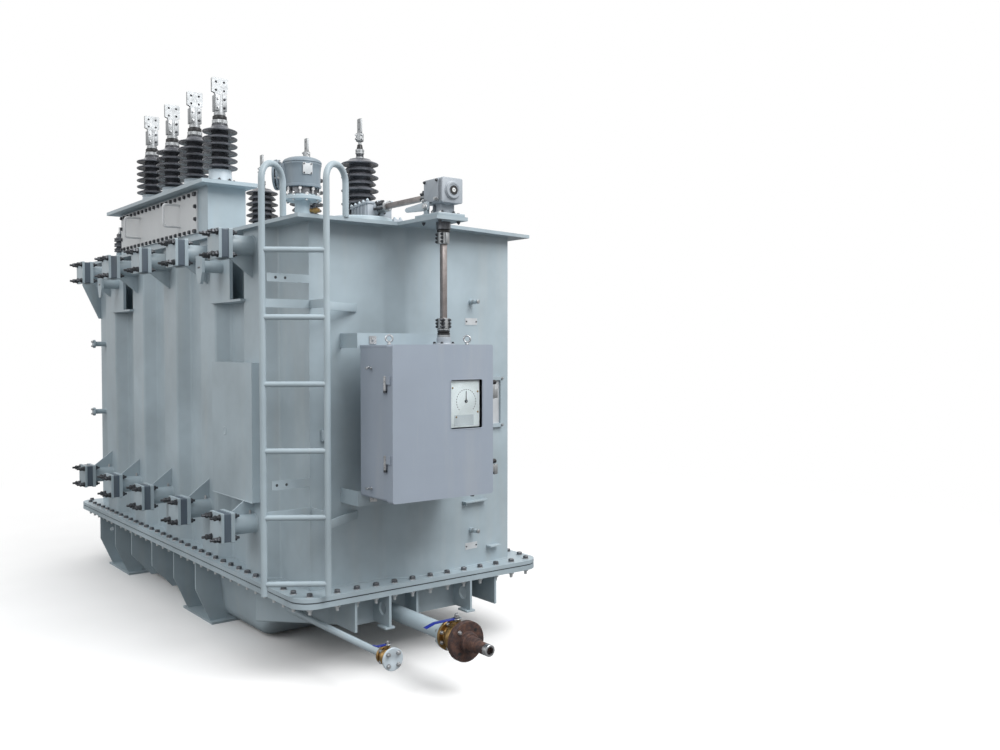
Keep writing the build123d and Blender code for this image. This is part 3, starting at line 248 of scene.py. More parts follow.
finishes = {
    "tank_paint": paintedSteel("tankPaint", srgb(164, 179, 187)),
    "hatch_paint": paintedSteel("hatchPaint", srgb(200, 203, 205), 0.55, 0.90, 1.04),
    "cabinet_paint": paintedSteel("cabinetPaint", srgb(146, 156, 169), 0.46, 0.94, 1.04, 2.2),
    "porcelain": glazed("porcelain", srgb(68, 70, 75)),
    "tinned_metal": bareMetal("tinnedMetal", srgb(168, 171, 173), 0.46, 160.0, 0.78, (0.12, 0.115, 0.11), 0.18),
    "valve_iron": paintedSteel("valveIron", srgb(84, 96, 108), 0.5, 0.8, 1.15),
    "gasket": plain("corkGasket", srgb(88, 95, 100), 0.85, 300.0, 0.0006),
    "shaft_metal": bareMetal("shaftMetal", srgb(158, 151, 149), 0.45, 150.0, 0.7, (0.14, 0.125, 0.12), 0.3),
    "brass": bareMetal("wornBrass", srgb(168, 138, 92), 0.38, 130.0, 0.55, (0.06, 0.045, 0.03), 0.6),
    "rusty_steel": scaled("rustySteel"),
    "lever_coat": plain("blueCoat", srgb(28, 42, 132), 0.32),
    "window_glass": clearPane("windowGlass"),
    "dial_white": plain("dialWhite", srgb(222, 225, 225), 0.5),
    "zinc": bareMetal("zincPlate", srgb(196, 198, 200), 0.30, 140.0, 0.6, (0.16, 0.15, 0.15), 0.3),
    "blackSteel": bareMetal("blackSteel", srgb(96, 98, 102), 0.45, 120.0, 0.5, (0.05, 0.045, 0.045), 0.5),
    "blackPlastic": plain("blackPlastic", srgb(26, 26, 28), 0.4),
    "mark": plain("dialMark", srgb(52, 52, 56), 0.6),
    "darkSteel": bareMetal("darkSteel", srgb(118, 120, 124), 0.42, 120.0, 0.6, (0.06, 0.055, 0.05), 0.4),
    "lightPaint": paintedSteel("lightPaint", srgb(190, 202, 210), 0.4, 0.86, 1.05),
    "brightNut": plain("brightNut", srgb(206, 210, 212), 0.35, 60.0, 0.0005),
    "devicePaint": paintedSteel("devicePaint", srgb(122, 135, 145), 0.44, 0.86, 1.06),
    "gearPaint": paintedSteel("gearPaint", srgb(164, 172, 180), 0.46, 0.84, 1.08),
    "tagPlate": plain("tagPlate", srgb(190, 194, 197), 0.4),
}

for part in frame["record"]["subparts"]:
    nodeObject = frame["nodes"][part["node"]]
    nodeObject.data.materials.clear()
    nodeObject.data.materials.append(finishes[part["material_slot"]])
print("finishes made")

bpy.context.scene.view_settings.view_transform = "Standard"

# Pieces are drawn in millimetres about the tank's middle, then moved to the frame's own origin
toFrame = Matrix.Translation((-0.377, 0, 0)) @ Matrix.Scale(0.001, 4)


def facing(place, aim=(0, 0, 1), roll=0.0):
    # Seen from outside, x runs to the right and y upwards; on a level face x and y stay as they are
    aim = Vector(aim).normalized()
    side = Vector((1, 0, 0)) if abs(aim.z) > 0.999 else Vector((-aim.y, aim.x, 0)).normalized()
    turn = Matrix((side, aim.cross(side), aim)).transposed().to_4x4()
    return Matrix.Translation(place) @ turn @ Matrix.Rotation(math.radians(roll), 4, "Z")


def shift(place, x=0.0, y=0.0, z=0.0):
    return place @ Matrix.Translation((x, y, z))


def around(x, y, radius, count, start):
    for number in range(count):
        angle = math.radians(start + 360 / count * number)
        yield x + radius * math.cos(angle), y + radius * math.sin(angle)


def circle(x, y, radius, steps=20):
    return list(around(x, y, radius, steps, 0))


def box2d(left, low, right, high, corner=0.0, steps=4):
    if not corner:
        return [(left, low), (right, low), (right, high), (left, high)]
    points = []
    for x, y, start in ((right - corner, low + corner, -90), (right - corner, high - corner, 0),
                        (left + corner, high - corner, 90), (left + corner, low + corner, 180)):
        for step in range(steps + 1):
            angle = math.radians(start + 90 * step / steps)
            points.append((x + corner * math.cos(angle), y + corner * math.sin(angle)))
    return points


class Piece:
    def __init__(self, name, body="tank"):
        self.name, self.body = name, body
        self.shape, self.looks = bmesh.new(), []

    def stamp(self, shape, finish, place):
        if finish not in self.looks:
            self.looks.append(finish)
        for face in shape.faces:
            face.material_index = self.looks.index(finish)
        bmesh.ops.recalc_face_normals(shape, faces=shape.faces[:])
        shape.transform(place)
        mesh = bpy.data.meshes.new("stamp")
        shape.to_mesh(mesh)
        shape.free()
        self.shape.from_mesh(mesh)
        bpy.data.meshes.remove(mesh)

    def turn(self, place, profile, finish, steps=36, hollow=False, flute=1.0):
        # A turned shape: radius and height of each step, flute pulls in every second line
        if not hollow:
            profile = [(0, profile[0][1])] + list(profile) + [(0, profile[-1][1])]
        shape, rings = bmesh.new(), []
        for radius, height in profile:
            if radius == 0:
                rings.append([shape.verts.new((0, 0, height))])
                continue
            ring = []
            for step in range(steps):
                angle, reach = 2 * math.pi * step / steps, radius * (flute if step % 2 else 1.0)
                ring.append(shape.verts.new((reach * math.cos(angle), reach * math.sin(angle), height)))
            rings.append(ring)
        pairs = list(zip(rings, rings[1:])) + ([(rings[-1], rings[0])] if hollow else [])
        for low, high in pairs:
            for step in range(steps):
                after = (step + 1) % steps
                corners = [low[step % len(low)], low[after % len(low)], high[after % len(high)], high[step % len(high)]]
                corners = list(dict.fromkeys(corners))
                if len(corners) > 2:
                    shape.faces.new(corners)
        self.stamp(shape, finish, place if isinstance(place, Matrix) else facing(place))

    def stack(self, place, layers):
        # Turned shapes one over the other: rise, outline and finish, then sides, hollow and flute
        for rise, profile, finish, *rest in layers:
            self.turn(shift(place, z=rise), profile, finish, *rest)

    def slab(self, place, outline, depth, finish, holes=(), edge=0.0):
        # A plate of any outline, with holes, or with its edges broken
        shape = bmesh.new()
        for loop in (outline, *holes):
            corners = [shape.verts.new((x, y, 0)) for x, y in loop]
            if not holes:
                shape.faces.new(corners)
                continue
            for first, second in zip(corners, corners[1:] + corners[:1]):
                shape.edges.new((first, second))
        if holes:
            bmesh.ops.triangle_fill(shape, use_beauty=True, edges=shape.edges[:], normal=(0, 0, 1))
        made = bmesh.ops.extrude_face_region(shape, geom=shape.faces[:])
        moved = [item for item in made["geom"] if isinstance(item, bmesh.types.BMVert)]
        bmesh.ops.translate(shape, verts=moved, vec=(0, 0, depth))
        bmesh.ops.recalc_face_normals(shape, faces=shape.faces[:])
        if edge:
            sharp = [line for line in shape.edges if line.calc_face_angle(0) > 0.6]
            bmesh.ops.bevel(shape, geom=sharp, offset=edge, segments=2, profile=0.5, affect="EDGES", clamp_overlap=True)
        self.stamp(shape, finish, place)

    def block(self, low, high, finish, edge=1.5, place=None):
        # A box between two corners with its edges broken
        self.slab((place or Matrix()) @ Matrix.Translation((0, 0, low[2])),
                  box2d(low[0], low[1], high[0], high[1]), high[2] - low[2], finish, edge=edge)

    def tube(self, points, radius, finish, steps=10, ripple=0.0):
        path = [Vector(point) for point in points]
        shape, rings, side = bmesh.new(), [], None
        for number, point in enumerate(path):
            along = (path[min(number + 1, len(path) - 1)] - path[max(number - 1, 0)]).normalized()
            side = side or along.orthogonal()
            side = (side - along * side.dot(along)).normalized()
            up, reach = along.cross(side), radius * (1 - ripple * (number % 2))
            rings.append([shape.verts.new(point + (side * math.cos(angle) + up * math.sin(angle)) * reach)
                          for angle in (2 * math.pi * step / steps for step in range(steps))])
        for low, high in zip(rings, rings[1:]):
            for step in range(steps):
                after = (step + 1) % steps
                shape.faces.new((low[step], low[after], high[after], high[step]))
        shape.faces.new(rings[0])
        shape.faces.new(rings[-1])
        self.stamp(shape, finish, Matrix())

    def loft(self, rings, finish):
        # A closed form through rings with the same number of points
        shape = bmesh.new()
        loops = [[shape.verts.new(point) for point in ring] for ring in rings]
        for low, high in zip(loops, loops[1:]):
            for step in range(len(low)):
                after = (step + 1) % len(low)
                shape.faces.new((low[step], low[after], high[after], high[step]))
        shape.faces.new(loops[0])
        shape.faces.new(loops[-1])
        self.stamp(shape, finish, Matrix())

    def bead(self, points, radius, finish, pitch=14.0):
        # A weld bead with its ripples
        line = []
        for first, second in zip(points, points[1:]):
            first, second = Vector(first), Vector(second)
            count = max(1, int((second - first).length / pitch))
            line += [first.lerp(second, step / count) for step in range(count)]
        self.tube(line + [Vector(points[-1])], radius, finish, 6, 0.3)

    def done(self, replaces=(), slot=None, smooth=32.0):
        mesh = bpy.data.meshes.new(self.name)
        self.shape.to_mesh(mesh)
        self.shape.free()
        mesh.transform(toFrame)
        mesh.shade_smooth()
        mesh.set_sharp_from_angle(angle=math.radians(smooth))
        for finish in self.looks:
            mesh.materials.append(finishes[finish])
        piece = bpy.data.objects.new(self.name, mesh)
        bpy.context.collection.objects.link(piece)
        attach(piece, self.body)
        if replaces:
            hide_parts(*replaces)
        return piece


# Fasteners: one node tree puts a bolt or nut at each point, along the point's aim
fastenerSizes = {
    "flangeBolt": (30, 15, 40, 4, 16, 1, "darkSteel", "zinc"),
    "flangeNut": (30, 16, 38, 3, 20, 19, "brightNut", "brightNut"),
    "rodNut": (28, 15, 38, 4, 17, 4, "blackSteel", "blackSteel"),
    "rodEnd": (28, 14, 17, 4, 17, 20, "blackSteel", "blackSteel"),
    "innerNut": (28, 15, 38, 4, 17, 14, "blackSteel", "blackSteel"),
    "hatchBolt": (22, 12, 30, 3, 12, 1, "blackSteel", "darkSteel"),
    "footBolt": (20, 12, 28, 3, 12, 6, "blackSteel", "zinc"),
    "capNut": (20, 14, 26, 3, 14, 5, "zinc", "zinc"),
    "smallBolt": (13, 8, 18, 2, 8, 1, "zinc", "zinc"),
    "smallCap": (17, 12, 21, 2, 12, 4, "zinc", "zinc"),
    "headBolt": (14, 8, 19, 2, 8, 4, "lightPaint", "lightPaint"),
    "underNut": (15, 9, 24, 3, 9, 5, "blackSteel", "blackSteel"),
    "darkBolt": (13, 8, 18, 2, 8, 1, "blackSteel", "blackSteel"),
    "screw": (8, 3, 11, 1, 4, 1, "blackSteel", "zinc"),
    "valveBolt": (17, 11, 24, 2, 11, 4, "zinc", "zinc"),
}
fastenerInputs = ("Head Width", "Head Height", "Washer Width", "Washer Height", "Stud Width", "Stud Height")
fasteners = {}


def bolt(kind, place, aim=(0, 0, 1), body="tank"):
    fasteners.setdefault((kind, body), []).append((Vector(place), Vector(aim).normalized()))


def boltRing(kind, place, aim, radius, count, start=0.0, body="tank"):
    turned = facing(place, aim)
    for across, up in around(0, 0, radius, count, start):
        bolt(kind, turned @ Vector((across, up, 0)), aim, body)


def boltLine(kind, first, last, count, aim, body="tank"):
    for number in range(count):
        bolt(kind, Vector(first).lerp(Vector(last), number / (count - 1)), aim, body)


def fastenerTree():
    tree = bpy.data.node_groups.new("fastener", "GeometryNodeTree")
    tree.interface.new_socket("Geometry", in_out="INPUT", socket_type="NodeSocketGeometry")
    for name in fastenerInputs:
        tree.interface.new_socket(name, in_out="INPUT", socket_type="NodeSocketFloat")
    tree.interface.new_socket("Seed", in_out="INPUT", socket_type="NodeSocketInt")
    for name in ("Head Finish", "Washer Finish"):
        tree.interface.new_socket(name, in_out="INPUT", socket_type="NodeSocketMaterial")
    tree.interface.new_socket("Geometry", in_out="OUTPUT", socket_type="NodeSocketGeometry")
    entry = addNode(tree, "NodeGroupInput")
    width, height, washerWidth, washerHeight, studWidth, studHeight = (entry.other(name) for name in fastenerInputs)

    def step(corners, low, top, depth, base):
        cone = addNode(tree, "GeometryNodeMeshCone", None, {
            "Vertices": corners, "Radius Top": top, "Radius Bottom": low, "Depth": depth})
        lift = addNode(tree, "ShaderNodeCombineXYZ", None, {"Z": base})
        return addNode(tree, "GeometryNodeTransform", None, {"Geometry": cone, "Translation": lift})

    across = width * 0.5774  # half the width over its corners
    washer = step(14, washerWidth * 0.5, washerWidth * 0.49, washerHeight, 0.0)
    washer = addNode(tree, "GeometryNodeStoreNamedAttribute", {"data_type": "BOOLEAN", "domain": "FACE"}, {
        "Geometry": washer, "Name": "washer", "Value": True})
    head = step(6, across, across, height * 0.8, washerHeight * 1.0)
    crown = step(6, across, across * 0.84, height * 0.2, washerHeight + height * 0.8)
    stud = step(8, studWidth * 0.5, studWidth * 0.45, studHeight, washerHeight + height)
    joined = tree.nodes.new("GeometryNodeJoinGeometry")
    for part in (stud, crown, head, washer):
        tree.links.new(part.socket, joined.inputs[0])
    aim = addNode(tree, "GeometryNodeInputNamedAttribute", {"data_type": "FLOAT_VECTOR"}, {"Name": "aim"})
    turned = addNode(tree, "FunctionNodeAlignRotationToVector", {"axis": "Z"}, {"Vector": aim})
    placed = addNode(tree, "GeometryNodeInstanceOnPoints", None, {
        "Points": entry, "Instance": Wire(tree, joined.outputs[0]), "Rotation": turned})
    random = addNode(tree, "FunctionNodeRandomValue", {"data_type": "FLOAT"}, {"Seed": entry.other("Seed")}, 1)
    spin = addNode(tree, "ShaderNodeCombineXYZ", None, {"Z": random * 1.05})
    placed = addNode(tree, "GeometryNodeRotateInstances", None, {
        "Instances": placed, "Rotation": spin, "Local Space": True})
    solid = addNode(tree, "GeometryNodeRealizeInstances", None, {"Geometry": placed})
    solid = addNode(tree, "GeometryNodeSetMaterial", None, {"Geometry": solid, "Material": entry.other("Head Finish")})
    chosen = addNode(tree, "GeometryNodeInputNamedAttribute", {"data_type": "BOOLEAN"}, {"Name": "washer"}, "Attribute")
    solid = addNode(tree, "GeometryNodeSetMaterial", None, {
        "Geometry": solid, "Selection": chosen, "Material": entry.other("Washer Finish")})
    addNode(tree, "NodeGroupOutput", None, {"Geometry": solid}, None)
    return tree


def makeFasteners():
    tree = fastenerTree()
    sockets = {item.name: item.identifier for item in tree.interface.items_tree if item.in_out == "INPUT"}
    for number, ((kind, body), places) in enumerate(sorted(fasteners.items())):
        points = bpy.data.meshes.new("points")
        points.from_pydata([toFrame @ place for place, aim in places], [], [])
        aims = points.attributes.new("aim", "FLOAT_VECTOR", "POINT")
        aims.data.foreach_set("vector", [value for place, aim in places for value in aim])
        holder = bpy.data.objects.new("points", points)
        bpy.context.collection.objects.link(holder)
        maker = holder.modifiers.new("fasteners", "NODES")
        maker.node_group = tree
        for name, value in zip(fastenerInputs, fastenerSizes[kind]):
            maker[sockets[name]] = value * 0.001
        maker[sockets["Seed"]] = number
        maker[sockets["Head Finish"]] = finishes[fastenerSizes[kind][6]]
        maker[sockets["Washer Finish"]] = finishes[fastenerSizes[kind][7]]
        seen = holder.evaluated_get(bpy.context.evaluated_depsgraph_get())
        mesh = bpy.data.meshes.new_from_object(seen)
        bpy.data.objects.remove(holder)
        mesh.name = kind
        piece = bpy.data.objects.new(f"{kind}_{body}", mesh)
        bpy.context.collection.objects.link(piece)
        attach(piece, body)


# Bushings: porcelain sheds with rounded lips on a straight core
shed = {"start": 3, "share": 0.25, "root": ((0, -1), (6, 3)), "back": ((20, 19), (7, 25), (0, 34)),
        "lip": ((-20, -1), (-10, -5), (-3, -6), (0, -3), (0, 3), (-4, 6))}


def shedProfile(bottom, top, core, radii, pitch):
    profile = [(core, bottom)]
    for number, radius in enumerate(radii):
        foot = bottom + shed["start"] + (number + shed["share"]) * pitch
        for middle, corners in ((core, shed["root"]), (radius, shed["lip"]), (core, shed["back"])):
            profile += [(middle + out, foot + up) for out, up in corners]
    return profile + [(core, top)]


lowSide = {
    "x": (390, -62, -514, -966), "y": -550, "deck": 2880, "stack": 2980, "head": 3274,
    "core": 54, "shed": 114, "pitch": 48, "sheds": 6,
    "base": [(98, 0), (98, 12), (95, 16), (84, 17), (80, 22), (73, 84), (75, 88), (75, 97), (72, 100)],
    "layers": (  # rise over the porcelain, outline, finish, then sides and flute
        (0, [(50, 0), (52, 3), (52, 9), (46, 11)], "blackSteel"),
        (11, [(47, 0), (50, 3), (50, 25), (46, 28)], "tinned_metal", 40, False, 0.93),
        (39, [(40, 0), (46, 2), (47, 8), (46, 22), (40, 27)], "blackPlastic"),
        (66, [(36, 0), (38, 2), (38, 17), (35, 19)], "tinned_metal"),
        (85, [(34, 0), (34, 120)], "tinned_metal"),
    ),
    "clamps": ((5, 32, 39, 3368, 3476), (-32, -5, 39, 3368, 3476), (-10, 10, 36, 3460, 3484)),
    "clampBolts": (3390, 3446),
    "palm": 3480, "palmThick": 20, "palmHalf": 55, "palmHigh": 110, "holeRadius": 8, "holeStep": 27.5, "holeRise": 55,
}


def makeLowBushings():
    bases, stacks, ends = Piece("lvBases"), Piece("lvSheds"), Piece("lvEnds")
    y, deck, head, palm, half = (lowSide[key] for key in ("y", "deck", "head", "palm", "palmHalf"))
    step, rise, shoulder = lowSide["holeStep"], palm + lowSide["holeRise"], palm + 16
    sheds = shedProfile(lowSide["stack"], head, lowSide["core"], [lowSide["shed"]] * lowSide["sheds"], lowSide["pitch"])
    holes = [circle(across, rise + up, lowSide["holeRadius"], 14) for across in (-step, step) for up in (-step, step)]
    outline = [(-30, palm), (30, palm), (38, palm + 10), (half, shoulder)]
    outline += box2d(-half, shoulder, half, palm + lowSide["palmHigh"], 8)[5:15] + [(-half, shoulder), (-38, palm + 10)]
    for x in lowSide["x"]:
        bases.turn((x, y, deck), lowSide["base"], "lightPaint", 44)
        boltRing("footBolt", (x, y, deck + 16), (0, 0, 1), 90, 8, 20)
        stacks.turn((x, y, 0), sheds, "porcelain", 44)
        ends.stack(facing((x, y, head)), lowSide["layers"])
        for left, right, deep, low, high in lowSide["clamps"]:
            ends.block((x + left, y - deep, low), (x + right, y + deep, high), "tinned_metal", 3)
        for z in lowSide["clampBolts"]:
            bolt("darkBolt", (x + 32, y + 22, z), (1, 0, 0))
            bolt("smallBolt", (x + 32, y - 24, z), (1, 0, 0))
        front = facing((x - 10, y, 0), (1, 0, 0))
        ends.slab(front, outline, lowSide["palmThick"], "tinned_metal", holes)
        for hole in holes:  # dark discs inside the holes are painted shade, so that the bores read as bores
            ends.slab(shift(front, z=7), [(across * 0.999, up) for across, up in hole], 3, "blackSteel")
    bases.done(["lv_bushing_bases"], "tinned_metal")
    stacks.done(["lv_porcelains"], "porcelain", 50)
    ends.done(["lv_terminals"], "tinned_metal")


highSide = {
    "x": (470, -370, -1210), "y": 470, "cover": 2500, "stack": 2630, "cap": 3164,
    "core": 78, "shedLarge": 135, "shedSmall": 116, "pitch": 48, "sheds": 11,
    "base": [(150, 0), (150, 20), (146, 24), (130, 25), (126, 30), (122, 98), (126, 104), (140, 107), (140, 126),
             (137, 130)],
    "layers": (
        (0, [(30, 0), (30, 14), (27, 16)], "tinned_metal"),
        (16, [(26, 0), (27, 3), (27, 15), (25, 18)], "blackSteel"),
        (34, [(27, 0), (32, 4), (32, 14), (29, 16), (29, 20), (32, 22), (32, 33), (27, 37)],
         "tinned_metal", 32, False, 0.95),
        (71, [(22, 0), (22, 8), (18, 31), (16, 34)], "blackPlastic"),
        (105, [(12, 0), (12, 22)], "tinned_metal"),
        (127, [(24, 0), (28, 5), (28, 54), (24, 60)], "tinned_metal"),
    ),
    "clampBolts": (142, 172), "palm": 3351, "palmThick": 14, "palmHalf": 25, "palmHigh": 105,
    "holeRadius": 7, "holeStep": 25,
}


def makeHighBushings():
    bases, stacks, ends = Piece("hvBases"), Piece("hvSheds"), Piece("hvEnds")
    y, cover, cap, palm, thick = (highSide[key] for key in ("y", "cover", "cap", "palm", "palmThick"))
    half, high, step = highSide["palmHalf"], highSide["palmHigh"], highSide["holeStep"]
    radii = [highSide["shedSmall" if number % 2 else "shedLarge"] for number in range(highSide["sheds"])]
    sheds = shedProfile(highSide["stack"], cap - 8, highSide["core"], radii, highSide["pitch"])
    for x in highSide["x"]:
        bases.turn((x, y, cover), highSide["base"], "tank_paint", 48)
        boltRing("footBolt", (x, y, cover + 24), (0, 0, 1), 140, 12)
        boltRing("footBolt", (x, y, cover + 107), (0, 0, -1), 133, 12, 15)
        stacks.turn((x, y, 0), sheds + [(72, cap - 3), (44, cap)], "porcelain", 44)
        ends.stack(facing((x, y, cap)), highSide["layers"])
        for rise in highSide["clampBolts"]:
            bolt("smallBolt", (x, y - 28, cap + rise), (0, -1, 0))
            bolt("smallBolt", (x + 28, y, cap + rise), (1, 0, 0))
        holes = [circle(x, palm + high / 2 + up, highSide["holeRadius"], 14) for up in (-step, step)]
        ends.slab(facing((0, y + thick / 2, 0), (0, -1, 0)), box2d(x - half, palm, x + half, palm + high, 8), thick,
                  "tinned_metal", holes)
    bases.done(["hv_bushing_bases"], "tank_paint")
    stacks.done(["hv_porcelains"], "porcelain", 50)
    ends.done(["hv_terminals"], "tinned_metal")


# Pressure relief device: flared neck, bolted flange, drum with a low dome and its outlet
relief = {
    "x": 1470, "y": -490, "cover": 2500, "flange": 2653, "throat": 2687, "drum": 2727,
    "neck": [(62, 0), (60, 5), (56, 8), (49, 40), (45, 90), (44, 135), (50, 153)],
    "collar": [(104, 0), (112, 4), (112, 20), (108, 24), (90, 25), (88, 34)],
    "cockAim": (0.618, 0.786, 0), "cockOut": 42, "cockZ": 2600,
    "cock": [(12, 0), (12, 22), (17, 24), (17, 44), (12, 47), (12, 58), (9, 60)],
    "plug": [(8, 0), (8, 26), (13, 27), (13, 38), (9, 42)],
    "can": [(104, 0), (108, 2), (108, 14), (104, 17), (106, 96), (110, 128), (112, 131), (112, 139), (109, 141)],
    "dome": [(110, 0), (113, 3), (112, 10), (104, 20), (86, 29), (60, 36), (30, 41), (10, 43)],
    "posts": 8, "postRing": 98, "postStart": 12,
    "outletTurn": 232, "outletZ": 2805, "outletBolts": 76, "outletStart": 22,
    "outlet": (  # rise along the outlet, outline, finish, sides, hollow
        (0, [(60, 60), (62, 96), (66, 124), (66, 130)], "devicePaint"),
        (128, [(87, 0), (87, 9), (60, 9), (60, 0)], "devicePaint", 44, True),
        (137, [(66, 0), (66, 9), (58, 9), (58, 0)], "darkSteel", 40, True),
        (146, [(89, 0), (87, 12), (84, 14), (62, 14), (58, 10), (58, 0)], "devicePaint", 44, True),
        # the black disc deep in the open bore is painted shade of the outlet's inside
        (131, [(58, 0), (58, 5)], "blackSteel"),
    ),
    "plateTurn": -10, "plateOut": 105, "plateRise": 100, "plateHalf": (28, 33), "screwHalf": (21, 26),
}


def makeRelief():
    x, y, drum, throat, flange = (relief[key] for key in ("x", "y", "drum", "throat", "flange"))
    neck = Piece("reliefNeck")
    neck.turn((x, y, relief["cover"]), relief["neck"], "tank_paint")
    neck.turn((x, y, flange), relief["collar"], "tank_paint", 44)
    boltRing("smallCap", (x, y, flange + 24), (0, 0, 1), 100, 8, 34)
    boltRing("smallBolt", (x, y, flange + 2), (0, 0, -1), 98, 8, 12)
    across, along = relief["cockAim"][:2]
    cock = facing((x + relief["cockOut"] * across, y + relief["cockOut"] * along, relief["cockZ"]), relief["cockAim"])
    neck.turn(cock, relief["cock"], "brass", 16)
    neck.turn(shift(cock, z=30) @ Matrix.Rotation(math.radians(-90), 4, "X"), relief["plug"], "blackSteel", 14)
    neck.done(["relief_neck"], "tank_paint")
    body = Piece("reliefDevice")
    body.turn((x, y, throat), [(84, 0), (84, 40)], "darkSteel")
    body.turn((x, y, drum), relief["can"], "devicePaint", 52)
    body.turn((x, y, drum + 141), relief["dome"], "devicePaint", 52)
    for postX, postY in around(x, y, relief["postRing"], relief["posts"], relief["postStart"]):  # in the open throat
        body.turn((postX, postY, throat), [(5, 0), (5, 42)], "zinc", 10)
        bolt("smallCap", (postX, postY, drum - 18))
    turned = math.radians(relief["outletTurn"])
    out = facing((x, y, relief["outletZ"]), (math.cos(turned), math.sin(turned), 0))
    body.stack(out, relief["outlet"])
    back = -(out.to_3x3() @ Vector((0, 0, 1)))
    boltRing("smallBolt", out @ Vector((0, 0, 128)), back, relief["outletBolts"], 8, relief["outletStart"])
    for side, up in around(0, 0, relief["outletBolts"], 8, relief["outletStart"]):
        body.turn(shift(out, side, up, 136), [(6, 0), (6, 11)], "zinc", 8)
    body.slab(shift(out, z=84), box2d(-62, -60, 62, 58, 6), 24, "devicePaint", edge=4)
    turned = math.radians(relief["plateTurn"])
    aim, reach = (math.cos(turned), math.sin(turned), 0), relief["plateOut"]
    tag = facing((x + reach * aim[0], y + reach * aim[1], drum + relief["plateRise"]), aim)
    half, high = relief["plateHalf"]
    body.slab(tag, box2d(-half, -high, half, high, 4), 6, "tagPlate", edge=1)
    screwHalf, screwHigh = relief["screwHalf"]
    for side in (-screwHalf, screwHalf):
        for up in (-screwHigh, screwHigh):
            bolt("screw", tag @ Vector((side, up, 6)), aim)
    body.done(["relief_device"], "tank_paint")


# Tap changer head with its gear case: ribbed sides, a bolted lid and the hub of the cross shaft
head = {
    "x": 1540, "y": -150, "cover": 2500,
    "left": 1445, "right": 1635, "front": -150, "back": 20, "low": 2654, "high": 2670,
    "base": [(250, 0), (250, 20), (247, 24), (206, 25), (204, 30), (198, 62), (190, 70)], "boltRing": 228, "bolts": 28,
    "lid": 15, "lidOver": 7, "ribs": 5, "ribFirst": 12, "ribSpread": 158, "hubY": -65, "hubRise": 133,
    "hub": [(47, -6), (47, 3), (43, 6), (37, 7), (34, 11)], "hubBolts": 40,
}


def makeTapHead():
    piece = Piece("tapChangerHead")
    x, y, cover, left, right = (head[key] for key in ("x", "y", "cover", "left", "right"))
    front, back, low, high = (head[key] for key in ("front", "back", "low", "high"))
    piece.turn((x, y, cover), head["base"], "tank_paint", 64)
    boltRing("headBolt", (x, y, cover + 24), (0, 0, 1), head["boltRing"], head["bolts"])
    side = [(left, cover + 40), (right, cover + 40), (right, high - 14), (left, low - 14)]
    piece.slab(facing((0, back, 0), (0, -1, 0)), side, back - front, "gearPaint", edge=7)
    near, far = left - head["lidOver"], right + head["lidOver"] - 1
    lid = [(near, low - 1 - head["lid"]), (far, high - 1 - head["lid"]), (far, high - 1), (near, low - 1)]
    piece.slab(facing((0, back + 6, 0), (0, -1, 0)), lid, back - front + 12, "gearPaint", edge=2)
    slope = Vector((low - high, 0, right - left)).normalized()
    for number in range(head["ribs"]):
        share = number / (head["ribs"] - 1)
        boltX, boltZ = left + share * (right - left), low + share * (high - low)
        for y2 in (front, back):
            bolt("headBolt", (boltX, y2, boltZ - 1), slope)
        ribX = left + head["ribFirst"] + share * head["ribSpread"]
        piece.block((ribX, front - 7, cover + 72), (ribX + 8, front + 4, boltZ - 20), "gearPaint", 1.5)
    hub = facing((right, head["hubY"], cover + head["hubRise"]), (1, 0, 0))
    piece.turn(hub, head["hub"], "gearPaint")
    piece.turn(shift(hub, z=4), [(33, 0), (33, 8), (20, 8), (20, 0)], "blackSteel", 32, True)
    boltRing("darkBolt", hub @ Vector((0, 0, 4)), (1, 0, 0), head["hubBolts"], 6, 15)
    piece.block((right - 60, back - 2, cover + 20), (right + 20, back + 70, cover + 74), "gearPaint", 8)
    for x in (right - 45, right + 5):
        boltLine("headBolt", (x, back + 15, cover + 74), (x, back + 55, cover + 74), 2, (0, 0, 1))
    piece.done(["tap_changer_head"], "tank_paint")


# Bevel gearbox on its stand: side cover, front cover with the boss, foot and sleeve
gear = {
    "left": 2215, "right": 2385, "front": -133, "back": 3, "low": 2576, "top": 2711, "x": 2300, "y": -65,
    "bossZ": 2643.5, "portZ": 2633, "coverX": (2232, 2348), "coverZ": (2595, 2695),
    "boss": (
        (0, [(50, -2), (50, 3), (46, 5), (45, 12), (42, 14), (33, 14), (31, 11), (27, 11), (26, 14), (23, 14)],
         "gearPaint", 48),
        (6, [(25, 0), (25, 8.6), (12, 8.6), (12, 0)], "blackPlastic", 36, True),
        (5, [(13, 0), (13, 9), (11.5, 10.5), (4, 10.5), (4, 6)], "dial_white", 6),
        (14, [(4, 0), (4, 0.8)], "blackSteel", 12),
    ),
    "port": [(36, -2), (36, 5), (33, 7), (28, 8), (28, 14), (20, 14)],
    "plate": (2185, -178, 2415, 0), "plateZ": 2500, "plateThick": 16,
    "foot": [(46, 0), (42, 6), (40, 14), (40, 40), (46, 50)],
    "sleeve": [(37, 0), (39, 2), (39, 38), (42, 40)], "sleeveZ": 2440,
    "plateBolts": ((-78, -142), (78, -142), (-78, -20), (78, -20)),
    "footBolts": ((-44, -38), (-44, 38), (44, -38), (44, 38)),
}


